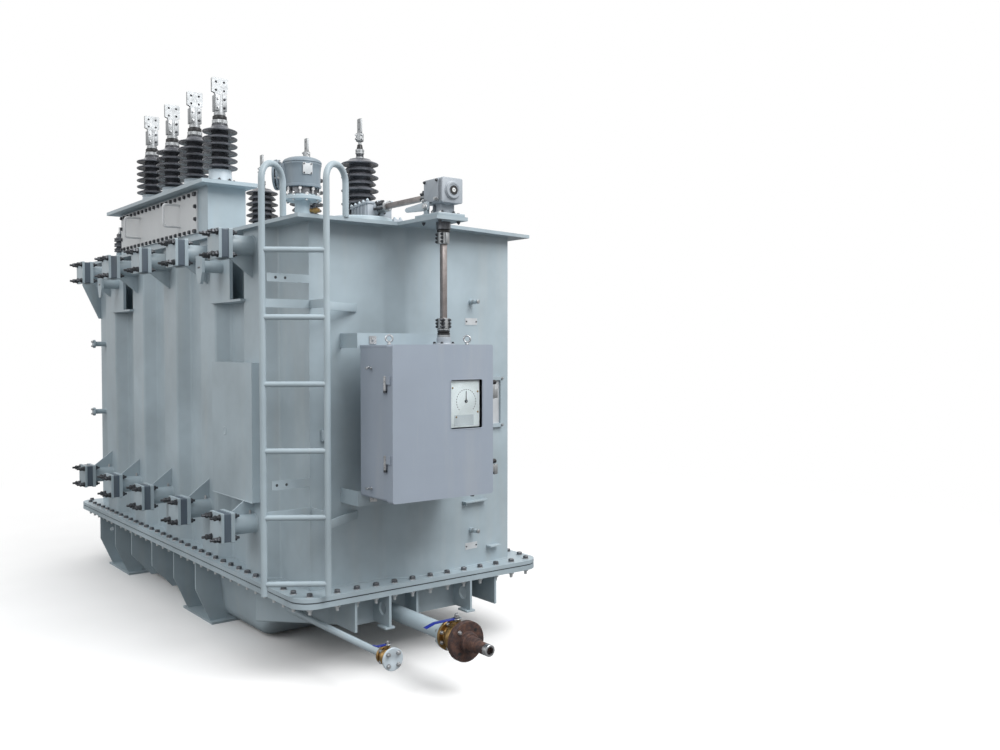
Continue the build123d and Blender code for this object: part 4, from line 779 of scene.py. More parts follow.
def makeGearbox():
    case, x, y, front = Piece("gearboxCase"), gear["x"], gear["y"], gear["front"]
    outline = box2d(front, gear["low"], gear["back"], gear["top"], 10)
    side = facing((gear["left"], 0, 0), (1, 0, 0))
    case.slab(side, outline, 148, "gearPaint", edge=3)
    case.slab(shift(side, z=147), box2d(-129, 2580, -1, 2707, 8), 6, "blackSteel")
    case.slab(shift(side, z=152), outline, 18, "gearPaint", edge=3)
    cover = facing((0, front + 1, 0), (0, -1, 0))
    case.slab(cover, box2d(2224, 2587, 2356, 2703, 6), 5, "darkSteel")
    case.slab(shift(cover, z=3), box2d(2222, 2585, 2358, 2705, 6), 6, "gearPaint", edge=1.5)
    for across in gear["coverX"]:
        for up in gear["coverZ"]:
            bolt("capNut" if up == gear["coverZ"][0] else "darkBolt", (across, front - 7, up), (0, -1, 0))
    case.stack(facing((gear["right"], y, gear["bossZ"]), (1, 0, 0)), gear["boss"])
    port = facing((gear["left"], y, gear["portZ"]), (-1, 0, 0))
    case.turn(port, gear["port"], "gearPaint")
    boltRing("darkBolt", port @ Vector((0, 0, 5)), (-1, 0, 0), 31, 4, 45)
    case.turn((x, y, gear["top"] - 1), [(16, 0), (16, 1.5)], "gearPaint", 6)
    case.done(["bevel_gearbox"], "tank_paint")
    stand, level = Piece("gearboxStand"), gear["plateZ"] + gear["plateThick"]
    stand.slab(facing((0, 0, gear["plateZ"])), box2d(*gear["plate"], 8), gear["plateThick"], "tank_paint", edge=2)
    stand.block((x - 55, y - 48, level), (x + 55, y + 48, level + 11), "tank_paint", 2)
    stand.turn((x, y, level + 10), gear["foot"], "gearPaint", 32)
    for across in (-36, 36):
        stand.block((x + across - 4, y - 44, level + 8), (x + across + 4, y + 44, gear["low"] + 1), "gearPaint", 1.5)
    stand.turn((x, y, gear["sleeveZ"]), gear["sleeve"], "darkSteel", 32)
    for across, deep in gear["plateBolts"]:
        bolt("smallBolt", (x + across, deep, level))
        bolt("underNut", (x + across, deep, gear["plateZ"] - 20), (0, 0, -1))
    for across, deep in gear["footBolts"]:
        bolt("capNut" if across < 0 else "darkBolt", (x + across, y + deep, level + 11))
    stand.done(["gearbox_bracket"], "tank_paint")


# Drive line: square tubes with split couplings, and the collar on the cabinet
drive = {
    "x": 2300, "y": -65, "half": 15, "low": 1880.3, "high": 2439.7,
    "crossLeft": 1647.3, "crossRight": 2200.7, "crossZ": 2633,
    "coupling": (
        (0, [(31, 0), (33, 2), (33, 62), (31, 64)], "tinned_metal", 24, False, 0.97),
        (64, [(34, 0), (36, 2), (36, 10), (34, 13)], "blackPlastic", 28),
    ),
    "couplingBolts": (12, 32, 52), "ears": ((-39, -24), (27, 36)),
    "lowCoupling": (
        (22, [(31, 0), (33, 2), (33, 54), (31, 56)], "tinned_metal", 24, False, 0.97),
        (12, [(34, 0), (36, 2), (36, 8), (30, 10)], "tinned_metal", 28),
        (0, [(30, 0), (34, 2), (34, 10), (30, 12)], "blackPlastic", 28),
    ),
    "lowBolts": (32, 50, 68), "crossCoupling": [(31, 0), (34, 3), (34, 74), (28, 78)], "crossBolts": (18, 40, 62),
    "collarZ": 1810,
    "collar": (
        (0, [(62, 0), (62, 8), (60, 10), (42, 11), (39, 15), (39, 42), (36, 45)], "gearPaint", 40),
        (45, [(33, 0), (36, 2), (36, 12), (32, 14)], "tinned_metal", 32),
        (59, [(33, 0), (35, 2), (35, 8), (31, 11)], "blackPlastic", 32),
    ),
}


def makeDrives():
    upright, cross = Piece("uprightDrive", "upright_drive"), Piece("crossDrive", "cross_drive")
    x, y, half, low, high = (drive[key] for key in ("x", "y", "half", "low", "high"))
    upright.block((x - half, y - half, low + 70), (x + half, y + half, high - 70), "shaft_metal", 3)
    place = facing((x, y, high - 78))
    upright.stack(place, drive["coupling"])
    for left, right in drive["ears"]:
        upright.block((left, -9, 4), (right, 9, 60), "tinned_metal", 1.5, place)
    for up in drive["couplingBolts"]:
        for side in (-1, 1):
            bolt("darkBolt", place @ Vector((side * 24, -24, up)), (0, -1, 0), "upright_drive")
    upright.stack(facing((x, y, low)), drive["lowCoupling"])
    for up in drive["lowBolts"]:
        for side in (-1, 1):
            bolt("darkBolt", (x + side * 22, y - 25, low + up), (0, -1, 0), "upright_drive")
            bolt("darkBolt", (x + 27, y + side * 20, low + up), (1, 0, 0), "upright_drive")
    upright.done(["upright_shaft"], "shaft_metal")
    left, right, z = drive["crossLeft"], drive["crossRight"], drive["crossZ"]
    cross.block((left + 60, y - half, z - half), (right - 60, y + half, z + half), "shaft_metal", 3)
    for place in (facing((left, y, z), (1, 0, 0)), facing((right, y, z), (-1, 0, 0))):
        cross.turn(place, drive["crossCoupling"], "tinned_metal", 24, flute=0.97)
        for along in drive["crossBolts"]:
            for side in (-1, 1):
                middle = place @ Vector((0, 0, along))
                bolt("darkBolt", place @ Vector((side * 22, 25, along)), (0, 0, 1), "cross_drive")
                bolt("darkBolt", middle + Vector((0, -33, side * 14)), (0, -1, 0), "cross_drive")
    cross.done(["cross_shaft"], "shaft_metal")
    collar = Piece("driveCollar")
    collar.stack(facing((x, y, drive["collarZ"])), drive["collar"])
    boltRing("darkBolt", (x, y, drive["collarZ"] + 10), (0, 0, 1), 51, 4, 45)
    collar.done(["shaft_collar"], "tank_paint")


# Cabinet: dial behind the window, window rim, hinges, latches, wing screws, eyes and gland
cabinet = {
    "front": 2442, "dialX": 2421, "dialY": -5, "dialZ": 1509, "tickRadius": 64, "ticks": 21, "tickSweep": 264,
    "plate": (-110.5, 1369, 85.5, 1621), "plateThick": 3.6, "postY": -12.5, "postZ": (1435, 1555),
    "tick": (-3.9, -1.6, 3.9, 1.6), "hand": [(-2.4, -8), (2.4, -8), (1.5, 56), (-1.5, 56)],
    "label": (-85, 1376, 45, 1436),
    "studs": ((-94, 1582), (-70, 1425), (73, 1449), (73, 1560)),
    "window": (-118, 1363, 93, 1627), "hinge": (2383, -490), "hingeZ": (1201, 1610), "barrel": 43, "hingeGap": 0.3,
    "seam": ((-468, 1009, 154, 1803), (-460, 1017, 146, 1795)), "seamX": 2380.2,
    "wingZ": (1691, 1054), "wingStem": [(9, 0), (9, 3), (5, 5), (5, 20), (8, 22), (8, 27), (5, 29)],
    "wing": [(-24, 3), (-22, 9), (-8, 5), (8, 5), (22, 9), (24, 3), (9, -5), (-9, -5)],
    "eyeY": (-375, 137), "eyeFoot": [(17, 0), (17, 4), (10, 8), (8, 16)],
    "eyeRing": (18, 5.5), "eyeAim": (0.79, -0.61, 0),
    "gland": [(17, 0), (17, 10), (13, 12), (13, 30), (11, 38)],
    "washers": ((-400, 1840), (-400, 985), (50, 985), (50, 1840)), "washer": 22,
    "latches": ((1504, 1616), (1096, 1178)),
}


def grown(box, by):
    left, low, right, high = box
    return left - by, low - by, right + by, high + by


def makeDial():
    dial, thick, z = Piece("positionDial"), cabinet["plateThick"], cabinet["dialZ"]
    dial.slab(facing((cabinet["dialX"], 0, 0), (1, 0, 0)), box2d(*cabinet["plate"], 5), thick, "dial_white", edge=0.8)
    for up in cabinet["postZ"]:
        dial.turn(facing((2115, cabinet["postY"], up), (1, 0, 0)), [(10, 0), (10, 306)], "zinc", 16)
    centre = facing((cabinet["dialX"] + thick, cabinet["dialY"], z), (1, 0, 0))
    for number in range(cabinet["ticks"]):
        turned = math.radians(-cabinet["tickSweep"] / 2 + cabinet["tickSweep"] * number / (cabinet["ticks"] - 1))
        spot = shift(centre @ Matrix.Rotation(-turned, 4, "Z"), y=cabinet["tickRadius"])
        dial.slab(spot, box2d(*cabinet["tick"]), 0.5, "mark")
    dial.slab(centre, cabinet["hand"], 2.0, "mark")
    dial.turn(centre, [(9, 0), (9, 2.5), (6, 4)], "mark", 24)
    dial.turn(centre, [(3, 0), (3, 5)], "zinc", 12)
    plateX = cabinet["dialX"] + 3.4
    dial.slab(facing((plateX, 0, 0), (1, 0, 0)), box2d(*cabinet["label"], 2), 0.8, "tagPlate")
    for y, z in cabinet["studs"]:
        dial.turn(facing((plateX, y, z), (1, 0, 0)), [(5.5, 0), (5.5, 1), (4, 2.5)], "brass", 14)
    dial.done(["position_dial"], "dial_white")


def makeDoorParts():
    rim, window, front = Piece("windowRim", "cabinet_door"), cabinet["window"], cabinet["front"]
    rim.slab(facing((front - 1, 0, 0), (1, 0, 0)), box2d(*grown(window, 5), 12), 2.4, "cabinet_paint",
             [box2d(*grown(window, -1), 9)])
    rim.slab(facing((front - 20.5, 0, 0), (1, 0, 0)), box2d(*grown(window, 14)), 11, "blackPlastic",
             [box2d(*grown(window, -1), 6)])
    rim.done((), "gasket")
    barrels, knuckles = Piece("hingeBarrels"), Piece("hingeKnuckles", "cabinet_door")
    (x, y), high = cabinet["hinge"], cabinet["barrel"]
    leaf = [(x, y - 2), (x, y + 3), (2372, y + 3), (2372, -474), (2343, -474), (2343, y + 9), (2350, y - 2)]
    for z in cabinet["hingeZ"]:
        barrels.turn((x, y, z - high), [(6.5, 0), (8.5, 2), (8.5, high)], "zinc", 20)
        barrels.turn((x, y, z - high), [(8.9, 0), (8.9, 12)], "blackSteel", 20)
        barrels.slab(facing((0, 0, z - high)), leaf, high, "cabinet_paint")
        knuckles.turn((x, y, z + cabinet["hingeGap"]), [(8.5, 0), (8.5, high - 3), (6.5, high)], "zinc", 20)
        knuckles.turn((x, y, z + 36), [(8.8, 0), (8.8, 5)], "tinned_metal", 20)
    barrels.done(["door_hinges"], "zinc")
    knuckles.done((), "zinc")


def makeCabinetTrim():
    trim, (outer, inner) = Piece("cabinetTrim"), cabinet["seam"]
    trim.slab(facing((cabinet["seamX"], 0, 0), (1, 0, 0)), box2d(*outer, 10), 5.2, "gasket", [box2d(*inner, 6)])
    for z in cabinet["wingZ"]:
        trim.turn(facing((2220, -475, z), (0, -1, 0)), cabinet["wingStem"], "zinc", 16)
        trim.slab(facing((2220, -498, z), (0, -1, 0), 8), cabinet["wing"], 5, "zinc", edge=1.5)
    ring = list(around(cabinet["eyeRing"][0], 0, cabinet["eyeRing"][1], 8, 0))
    for y in cabinet["eyeY"]:
        trim.turn((2240, y, 1809.5), cabinet["eyeFoot"], "zinc", 20)
        trim.turn(facing((2240, y, 1847), cabinet["eyeAim"]), ring, "zinc", 28, True)
    trim.turn(facing((2300, 128, 1003), (0, 0, -1)), cabinet["gland"], "blackPlastic", 6)
    trim.slab(facing((0, 0, 1800)), box2d(2112, -476, 2379, -470), 12.5, "cabinet_paint", edge=1)
    for y, z in cabinet["washers"]:  # square washers on the wall bars
        washer, half = facing((2109.5, y, z), (1, 0, 0)), cabinet["washer"]
        trim.slab(washer, box2d(-half, -half, half, half, 3), 5, "zinc")
        bolt("smallBolt", washer @ Vector((0, 0, 5)), (1, 0, 0))
    trim.done((), "cabinet_paint")
    latches = Piece("doorLatches", "cabinet_door")
    for low, high in cabinet["latches"]:
        middle = (low + high) / 2
        latches.block((2404, 165, low + 14), (2438, 184, high - 24), "tinned_metal", 3)
        latches.block((2412, 182, middle - 40), (2434, 207, middle + 16), "tinned_metal", 4)
        latches.turn(facing((2421, 165, high - 8), (0, 1, 0)), [(13, 0), (13, 30), (9, 36)], "blackPlastic", 18)
    latches.done((), "tinned_metal")


# Drains: brass ball valves, a painted blank disc and the rusty flange with its stepped nozzle
drains = {
    "z": 280, "small": (2555, -610), "large": (2485, -160), "smallStem": 2596.5, "largeStem": 2550,
    "smallValve": [(34, 0), (42, 2), (44, 4), (44, 14), (42, 16), (34, 17), (32, 22), (38, 29), (43, 36), (44, 41.5),
                   (43, 47), (38, 54), (32, 61), (34, 66), (42, 67), (44, 69), (44, 81), (42, 83)],
    "largeValve": [(60, 0), (80, 1), (82, 3), (82, 17), (80, 19), (58, 20), (55, 28), (64, 40), (72, 53), (74, 65),
                   (72, 77), (64, 90), (55, 102), (58, 110), (80, 111), (82, 113), (82, 127), (80, 130)],
    "smallBonnet": [(15, 0), (15, 16), (12, 18), (12, 26)], "largeBonnet": [(32, 0), (32, 12), (26, 14), (24, 28)],
    "disc": [(55, 0), (57, 2), (57, 10), (55, 12), (20, 12), (18, 11)],
    "nozzle": [(103, 0), (106, 3), (106, 30), (103, 34), (56, 34), (54, 36), (52, 60), (48, 64), (40, 65), (38, 68),
               (38, 120), (35, 124), (31, 125), (30, 128), (30, 196)],
    # plugs: places of black discs flush in the empty bolt holes, painted shade of the holes
    "tip": [(30, 0), (30, 32), (28, 34), (20, 34), (20, 0)], "plugs": ((50, 55), (-52, -54), (50, -56)),
    "collar": [(78, 0), (80, 2), (80, 14), (78, 16)], "nut": [(27, 0), (30, 2), (30, 16)],
    "levers": (  # piece, body, seat over the floor, hub, half width, reach and rise of the grip
        ("smallDrainLever", "small_drain_lever", 338.5, 18, 9, 83, 9),
        ("largeDrainLever", "large_drain_lever", 376.5, 28, 14, 200, -16),
    ),
}


def makeDrains():
    z, valves, ends = drains["z"], Piece("drainValves"), Piece("drainEnds")
    small, large = (facing((*drains[size], z), (1, 0, 0)) for size in ("small", "large"))
    stems = [(drains["smallStem"], drains["small"][1]), (drains["largeStem"], drains["large"][1])]
    valves.turn(small, drains["smallValve"], "brass", 40)
    valves.turn((*stems[0], z + 30), drains["smallBonnet"], "brass", 6)
    valves.turn((*stems[0], z + 54), [(7, 0), (7, 5)], "zinc", 12)
    boltRing("valveBolt", small @ Vector((0, 0, 17)), (1, 0, 0), 35, 4, 45)
    valves.turn(large, drains["largeValve"], "brass", 48)
    valves.turn((*stems[1], z + 60), drains["largeBonnet"], "brass", 8)
    valves.turn((*stems[1], z + 86), [(12, 0), (12, 10)], "zinc", 14)
    boltRing("valveBolt", large @ Vector((0, 0, 20)), (1, 0, 0), 69, 8, 22.5)
    boltRing("valveBolt", large @ Vector((0, 0, 110)), (-1, 0, 0), 69, 4, 45)
    valves.done(["drain_valves"], "brass")
    ends.turn(shift(small, z=83), drains["disc"], "lightPaint", 44)
    boltRing("valveBolt", small @ Vector((0, 0, 95)), (1, 0, 0), 40, 4, 45)
    flange = shift(large, z=130)
    ends.turn(flange, drains["nozzle"], "rusty_steel", 52)
    ends.turn(shift(flange, z=190), drains["tip"], "zinc", 36, True)
    # black discs flush in the three empty bolt holes: painted shade of the holes
    for across, up in drains["plugs"]:
        ends.turn(shift(flange, across, up, 28), [(9, 0), (9, 6.6)], "blackPlastic", 14)
    bolt("valveBolt", flange @ Vector((-52, 56, 34)), (1, 0, 0))
    ends.done(["drain_flanges"], "rusty_steel")
    collars = Piece("drainPipeFlange")
    collars.turn(shift(large, z=-16), drains["collar"], "tank_paint", 44)
    boltRing("valveBolt", large @ Vector((0, 0, -16)), (-1, 0, 0), 69, 8, 22.5)
    collars.turn(shift(small, z=-16), drains["nut"], "brass", 6)
    collars.done((), "tank_paint")
    for (x, y), (piece, body, deck, hub, half, reach, rise) in zip(stems, drains["levers"]):
        lever, low, high = Piece(piece, body), deck + 0.6, deck + 6.6
        lever.turn((x, y, deck), [(hub - 1, 0), (hub, 1), (hub, 5), (hub - 1, 6)], "zinc", 28)
        path = [(-y + 4, low), (-y + reach * 0.72, low), (-y + reach - 3, low + rise), (-y + reach, low + rise + 3),
                (-y + reach - 3, high + rise), (-y + reach * 0.70, high), (-y + 4, high)]
        side = Matrix(((0, 0, 1, x - half), (-1, 0, 0, 0), (0, 1, 0, 0), (0, 0, 0, 1)))
        lever.slab(side, path, 2 * half, "lever_coat", edge=1.6)
        lever.turn((x, y, deck + 6), [(hub * 0.62, 0), (hub * 0.62, 3), (hub * 0.5, 5)], "blackSteel", 20)
        bolt("smallBolt" if hub < 20 else "capNut", (x, y, deck + 10), (0, 0, 1), body)
        lever.done([body], "lever_coat")


# Small fittings of the tank walls, each standing on the wall that carries it
slantFace = {"x": 2005, "y": 120, "endX": 1940, "endY": 670}
slantAim = Vector((550, 65, 0)).normalized()
fittings = {
    "tags": ((360, 1954), (358.5, 603)), "ledgeY": 376, "stepY": 528, "frameY": 440, "frameZ": 1465,
    "frameHalf": (172, 155), "frameBolts": ((-161, -144), (161, -144), (-161, 144), (161, 144)),
    "tabs": ((960, 1047, 1414), (1545, 1620, 1412)), "stubs": ((-1785, 1825), (-1809, 1258)),
    "stub": [(30, 0), (24, 5), (20, 8), (20, 88), (34, 89), (34, 103), (30, 105)],
    "panelKnob": [(26, 0), (26, 2), (22, 3.5), (18, 2.0), (14, 1.4)],
    "neutral": (-1500, -640), "neutralFoot": [(44, 0), (44, 14), (36, 16), (30, 20), (30, 70)],
    "neutralTip": [(14, 0), (14, 12), (10, 14), (10, 52), (7, 55)],
    "pocketX": 1977, "pocketY": 355, "pocketZ": (699, 2071),
    "pocket": [(15, -1), (15, 16), (13, 18), (13, 46), (11, 49), (11, 66), (9, 70)],
    "earth": ((-901, 1047, 1095), (-922, 2145, 2190)), "earthHoles": (-872, -817),
    "braces": ((845, 890), (1996, 2041)),
    "brace": [(2112, -682), (2120, -672), (1928, -392), (1919, -392), (1919, -401)],
    "arm": [(2047, 2560), (2062, 2551), (2240, 2541), (2277, 2545), (2277, 2582), (2262, 2590), (2062, 2578),
            (2047, 2571)],
}


def slant(y, z, sink=0.0):
    share = (y - slantFace["y"]) / (slantFace["endY"] - slantFace["y"])
    x = slantFace["x"] - (slantFace["x"] - slantFace["endX"]) * max(0.0, share)
    return shift(facing((x, y, z), slantAim), z=-sink)


def makeWallFittings():
    wall = Piece("wallFittings")
    for y, z in fittings["tags"]:  # blank tags
        tag = slant(y, z)
        wall.slab(shift(tag, z=-1), box2d(-49, -20, 49, 20, 2), 3, "tagPlate")
        for across in (-40, 40):
            bolt("screw", tag @ Vector((across, 0, 2)), slantAim)
    ledge = slant(fittings["ledgeY"], 874, 2)
    wall.slab(ledge, box2d(-91, -5, 91, 5, 2), 40, "tank_paint", edge=1)
    wall.slab(ledge, box2d(-84, -18, -74, -4), 30, "tank_paint")
    wall.slab(slant(fittings["stepY"], 582, 2), box2d(-45, -5, 45, 5, 2), 44, "tank_paint", edge=1)
    half, high = fittings["frameHalf"]
    frameAt, outer = slant(fittings["frameY"], fittings["frameZ"], 2), (-half, -high, half, high)
    wall.slab(frameAt, box2d(*outer, 4), 22, "tank_paint", [box2d(*grown(outer, -22), 4)])
    wall.slab(frameAt, box2d(*grown(outer, -19), 2), 8, "tagPlate")
    for across, up in fittings["frameBolts"]:
        bolt("smallBolt", frameAt @ Vector((across, up, 22)), slantAim)
    for low, high, x in fittings["tabs"]:  # on the front flats
        wall.slab(facing((0, -758, 0), (0, -1, 0)), box2d(x - 14, low, x + 14, high, 3), 20, "tank_paint", edge=2)
    wall.slab(facing((1918, 0, 0), (1, 0, 0)), box2d(-616, 1290, -588, 1350, 3), 24, "tank_paint", edge=2)
    for x, z in fittings["stubs"]:  # at the far end of the front wall
        wall.turn(facing((x, -679, z), (0, -1, 0)), fittings["stub"], "tank_paint", 28)
        boltRing("smallBolt", (x, -784, z), (0, -1, 0), 26, 4, 45)
    wall.turn(facing((1089, -816, 1301), (0, -1, 0)), fittings["panelKnob"], "tank_paint", 32)
    place = fittings["neutral"]
    wall.turn((*place, 2499), fittings["neutralFoot"], "tank_paint", 32)
    wall.turn((*place, 2568), shedProfile(0, 150, 26, [46, 46, 46], 42) + [(20, 156)], "porcelain", 32)
    wall.turn((*place, 2723), fittings["neutralTip"], "zinc", 20)
    wall.done((), "tank_paint")


def makeSmallFittings():
    pockets = Piece("thermometerPockets")
    for z in fittings["pocketZ"]:
        place = facing((fittings["pocketX"], fittings["pocketY"], z), slantAim)
        pockets.turn(place, fittings["pocket"], "tank_paint", 22)
        pockets.turn(shift(place, z=20), [(15, 0), (15, 14)], "zinc", 6)
        pockets.turn(shift(place, z=62), [(11, 0), (12, 1), (12, 9), (9, 11)], "tinned_metal", 20)
    pockets.done(["thermometer_pockets"], "zinc")
    plates = Piece("earthPlates")
    for left, low, high in fittings["earth"]:  # two-hole plates beside the ladder
        middle = (low + high) / 2
        plates.slab(facing((1913, 0, 0), (1, 0, 0)), box2d(left, low, -679, high, 4), 7, "tank_paint",
                    [circle(y, middle, 8, 14) for y in fittings["earthHoles"]])
        # dark discs set into the two holes are painted shade of the bores
        for y in fittings["earthHoles"]:
            plates.turn(facing((1915, y, middle), (1, 0, 0)), [(8.2, 0), (8.2, 2)], "blackSteel", 14)
    for low, high in fittings["braces"]:  # from the ladder's near stile to the end wall
        plates.slab(facing((0, 0, low)), fittings["brace"], high - low, "tank_paint", edge=1.5)
    for side in (-1, 1):  # tapered wings at the far corners
        outline = [(side * 678, 2380), (side * 828, 2380), (side * 828, 2318), (side * 700, 2040), (side * 678, 2040)]
        plates.slab(facing((-1922, 0, 0), (1, 0, 0)), outline, 12, "tank_paint", edge=1.5)
    plates.done((), "tank_paint")
    lug = Piece("coverLug")
    lug.slab(facing((0, -138, 0), (0, -1, 0)), fittings["arm"], 14, "lightPaint", edge=2)
    lug.block((2236, -152, 2514), (2268, -134, 2550), "tank_paint", 2)
    lug.turn(facing((2253, -151, 2562), (0, -1, 0)), [(19, 0), (19, 5), (15, 7), (15, 14), (11, 17)], "zinc", 20)
    lug.done((), "tank_paint")


# Trough: a deep tub whose near end leans in under the shallow end, and the webs with their tow eyes
trough = {"top": 422, "floor": 15, "half": 660, "lean": 50, "corner": 90, "cornerSteps": 7, "bevel": 6,
          "stations": ((-1900, 15), (1060, 15), (1100, 23), (1140, 45), (1290, 150), (1330, 178)),  # x and floor
          "shallow": ((1320, 730, 186), (1910, 400, 238))}  # x, half width and underside
webs = {"thick": 14, "low": 247, "pad": 12, "padHalf": 30, "padLong": 90,
        "towY": 278, "eyeX": 2012, "eyeZ": 338, "eye": 38,
        "rows": ((-278, 2085), (278, 2085), (-480, 2060), (480, 2060), (-60, 2025)),  # y and reach
        "rootNear": 1763, "rootMiddle": 1905, "rootFar": 1895}


def tubRing(x, floor):
    top, high = trough["top"], trough["top"] - floor
    low = trough["half"] - trough["lean"] * high / (top - trough["floor"])
    corner = min(trough["corner"], high * 0.4)
    turns = [math.radians(90 * step / (trough["cornerSteps"] - 1)) for step in range(trough["cornerSteps"])]
    ring = [(trough["half"], top)]
    ring += [(low - corner + corner * math.cos(turn), floor + corner - corner * math.sin(turn)) for turn in turns]
    return [(x, y, z) for y, z in ring] + [(x, -y, z) for y, z in reversed(ring)]


def makeTrough():
    tub, top, bevel = Piece("troughTub"), trough["top"], trough["bevel"]
    tub.loft([tubRing(x, floor) for x, floor in trough["stations"]], "tank_paint")
    tub.loft([[(x, -y, top), (x, -y, z + bevel), (x, bevel - y, z), (x, y - bevel, z), (x, y, z + bevel), (x, y, top)]
              for x, y, z in trough["shallow"]], "tank_paint")
    x, y, z = trough["shallow"][0]
    for side in (-1, 1):
        tub.bead([(x - 2, side * (y - 66), top - 2), (x - 2, side * (y - 92), z)], 4, "tank_paint", 9)
    tub.done(["trough"], "tank_paint")
    frames, low, thick, wide = Piece("towWebs"), webs["low"], webs["thick"], webs["padHalf"]
    for end in (-1, 1):
        for y, reach in webs["rows"]:
            root = webs["rootFar"] if end < 0 else webs["rootMiddle" if abs(y) < 400 else "rootNear"]
            tow = abs(y) == webs["towY"]
            holes = [circle(end * webs["eyeX"], webs["eyeZ"], webs["eye"], 28)] if tow else ()
            left, right = sorted((end * root, end * reach))
            place = facing((0, y + thick / 2, 0), (0, -1, 0))
            frames.slab(place, box2d(left, low, right, top), thick, "tank_paint", holes)
            if tow:
                first, last = sorted((end * reach, end * (reach - webs["padLong"])))
                frames.block((first, y - wide, low - webs["pad"]), (last, y + wide, low), "tank_paint", 1.5)
    frames.done(["end_webs"], "tank_paint")


# Painted shade for the slots of the lifting lugs, weld beads, and the radiator pipes' welds, plugs and flange rods
pipes = {"x": (-1370, -685, 0, 685, 1370), "z": (782, 2382), "weld": 59, "wallY": 762, "flangeY": 908, "rods": 62,
         "plug": [(12, 0), (12, 6), (9, 7), (9, 22), (7, 24)], "plugY": 785,
         "rodParts": (("rodNut", 990, 1), ("rodEnd", 1009, 1), ("innerNut", 910, -1))}  # fastener, y and aim
seams = {"levels": ((481.5, 1.0), (2479.0, 0.0)), "flat": 681, "ridge": 761, "foot": 185, "top": 125, "end": 1905,
         "near": ((-668, 1921.5), (-220, 1921.5), (-110, 2006), (120, 2006), (668, 1941)),
         "turret": (-1331, 501, -421, -681), "turretZ": (2501, 2854),
         "panel": [(894, -761, 914), (894, -818, 914), (1481, -818, 914)], "lugX": (-1095.5, 959.5)}


def makeWelds():
    marks = Piece("lugSlotShades")
    for x in seams["lugX"]:
        for side in (-1, 1):
            front = facing((x, side * 917.4, 2277), (0, side, 0))
            # a black patch on the wall is painted shade standing for each slot's opening, with a thin bright strip
            # above it
            marks.slab(front, box2d(-18, -4, 18, 4, 2), 1.6, "blackSteel")
            marks.slab(front, box2d(-18, 5, 18, 7.5, 1), 1.4, "tinned_metal")
    marks.done((), "tank_paint")
    welds, foot, top, flat, ridge = Piece("weldBeads"), *(seams[key] for key in ("foot", "top", "flat", "ridge"))
    for side in (-1, 1):
        path = [(-seams["end"], flat)]
        for x in pipes["x"]:
            path += [(x - foot, flat), (x - top, ridge), (x + top, ridge), (x + foot, flat)]
        path += [(seams["end"], flat)]
        for z, out in seams["levels"]:
            welds.bead([(x, side * (y + out), z) for x, y in path], 5.0, "tank_paint", 11)
    for z, out in seams["levels"]:
        welds.bead([(x, y, z) for y, x in seams["near"]], 5.0, "tank_paint", 11)
        welds.bead([(-1921.5, -668, z), (-1921.5, 668, z)], 5.0, "tank_paint", 11)
    left, right, back, front = seams["turret"]
    turret = [[(left, back, z), (left, front, z), (right, front, z), (right, back, z)] for z in seams["turretZ"]]
    for path in (*turret, seams["panel"]):
        welds.bead(path, 4.0, "tank_paint", 9)
    joints = [(x, side, z) for x in pipes["x"] for side in (-1, 1) for z in pipes["z"]]
    for x, side, z in joints:
        for y, radius in ((pipes["wallY"], 5), (pipes["flangeY"], 4.5)):
            ring = [(across, side * y, up) for across, up in around(x, z, pipes["weld"], 28, 0)]
            welds.tube(ring + ring[:1], radius, "tank_paint", 6, 0.25)
    welds.done((), "tank_paint", 60)
    plugs = Piece("pipePlugs")
    for x in pipes["x"]:
        for side in (-1, 1):
            plugs.turn((x, side * pipes["plugY"], pipes["z"][0] + 54), pipes["plug"], "zinc", 6)
    plugs.done((), "zinc")
    for x, side, z in joints:
        for across in (-pipes["rods"], pipes["rods"]):
            for up in (-pipes["rods"], pipes["rods"]):
                for kind, y, aim in pipes["rodParts"]:
                    bolt(kind, (x + across, side * y, z + up), (0, side * aim, 0))


# Bolt rows: the long flange joint and the hatch
rows = {"y": 782, "x": 2042, "top": 480, "low": 422, "pitch": 120, "each": 16,
        "endFirst": -585, "endPitch": 120.2, "endCount": 11, "corner": (2030, 742),
        "hatchX": 295, "hatchPitch": 88, "hatchCount": 18, "hatchY": -692, "hatchZ": (2820, 2574),
        "hatchEnds": (316, -1271), "hatchEndZ": (2820, 2737, 2653, 2572)}


def makeRows():
    each, (cornerX, cornerY) = rows["each"], rows["corner"]
    spots = [(along * rows["pitch"], side * rows["y"]) for along in range(-each, each + 1) for side in (-1, 1)]
    spots += [(side * rows["x"], rows["endFirst"] + rows["endPitch"] * step)
              for step in range(rows["endCount"]) for side in (-1, 1)]
    spots += [(side * cornerX, up * cornerY) for side in (-1, 1) for up in (-1, 1)]
    for across, along in spots:
        bolt("flangeBolt", (across, along, rows["top"]))
        bolt("flangeNut", (across, along, rows["low"]), (0, 0, -1))
    for number in range(rows["hatchCount"]):
        for z in rows["hatchZ"]:
            bolt("hatchBolt", (rows["hatchX"] - rows["hatchPitch"] * number, rows["hatchY"], z), (0, -1, 0))
    for x in rows["hatchEnds"]:
        for z in rows["hatchEndZ"]:
            bolt("hatchBolt", (x, rows["hatchY"], z), (0, -1, 0))


for make in (makeLowBushings, makeHighBushings, makeRelief, makeTapHead, makeGearbox, makeDrives,
             makeDial, makeDoorParts, makeCabinetTrim, makeDrains, makeWallFittings, makeSmallFittings,
             makeTrough, makeWelds, makeRows):
    make()
    print(make.__name__)
makeFasteners()
print("fasteners made")

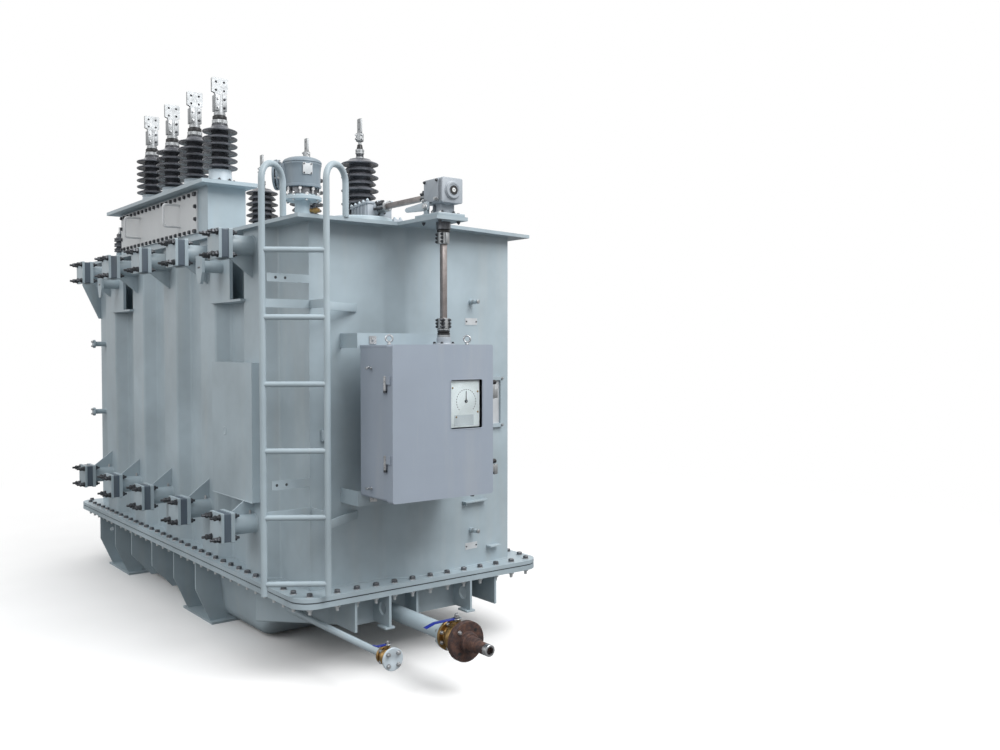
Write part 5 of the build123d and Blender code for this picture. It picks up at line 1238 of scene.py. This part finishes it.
# Room: pale floor, white behind, soft light from above and from the right
room = {
    "floorHalf": 60.0, "pale": 0.92, "dim": 0.20, "fadeFrom": 3.2, "fadeTo": 7.5,  # dim is what the object sees
    "low": 0.34, "high": 1.42, "lampSize": 5.0,  # the sky's light at the horizon and overhead
    "lamps": (  # name, place, power and aim
        ("key", (6.6, 1.5, 7.5), 570.0, (0.6, 0.0, 1.2)),
        ("side", (1.1, -8.0, 5.5), 145.0, (-0.4, 0.0, 1.2)),
    ),
}


def makeRoom():
    bm = bmesh.new()
    bmesh.ops.create_grid(bm, x_segments=1, y_segments=1, size=room["floorHalf"])
    mesh = bpy.data.meshes.new("floor")
    bm.to_mesh(mesh)
    bm.free()
    floor = bpy.data.objects.new("floor", mesh)
    bpy.context.collection.objects.link(floor)
    finish, tree, shader, place = newFinish("floorPaint", (room["pale"],) * 3, 0.9)
    seen = addNode(tree, "ShaderNodeLightPath")
    tint = noise(tree, place, 0.8, 3.0)
    pale = mixColour(tree, spread(tree, tint, 0.3, 0.7), (room["pale"] - 0.02,) * 3, (room["pale"] + 0.02,) * 3)
    feed(tree, shader, colour=mixColour(tree, seen, (room["dim"],) * 3, pale))
    reach = addNode(tree, "ShaderNodeVectorMath", {"operation": "LENGTH"}, (place,), "Value")
    white = addNode(tree, "ShaderNodeEmission", None, {"Color": (1.0, 1.0, 1.0, 1.0), "Strength": 1.0})
    fade = spread(tree, reach, room["fadeFrom"], room["fadeTo"]) * seen
    both = addNode(tree, "ShaderNodeMixShader", None, {0: fade, 1: Wire(tree, shader.outputs[0]), 2: white})
    tree.links.new(both.socket, tree.nodes["Material Output"].inputs["Surface"])
    mesh.materials.append(finish)
    world = bpy.data.worlds.new("studio")
    bpy.context.scene.world = world
    world.use_nodes = True
    tree = world.node_tree
    back = tree.nodes["Background"]
    path = addNode(tree, "ShaderNodeLightPath")
    seen = path + path.other("Is Glossy Ray") + path.other("Is Transmission Ray")
    seen = addNode(tree, "ShaderNodeMath", {"operation": "MINIMUM"}, (seen, 1.0))
    aim = addNode(tree, "ShaderNodeTexCoord", output="Generated")
    height = addNode(tree, "ShaderNodeSeparateXYZ", None, (aim,), "Z")
    sky = mixColour(tree, spread(tree, height, 0.0, 1.0), (room["low"],) * 3, (room["high"],) * 3)
    tree.links.new(mixColour(tree, seen, sky, (1.0, 1.0, 1.0)).socket, back.inputs["Color"])
    for name, place, power, aim in room["lamps"]:
        lamp = bpy.data.lights.new(name, "AREA")
        lamp.size, lamp.energy = room["lampSize"], power
        holder = bpy.data.objects.new(name, lamp)
        holder.location = place
        holder.rotation_mode = "QUATERNION"
        holder.rotation_quaternion = (Vector(aim) - Vector(place)).to_track_quat("-Z", "Y")
        bpy.context.collection.objects.link(holder)


makeRoom()
print("room made")
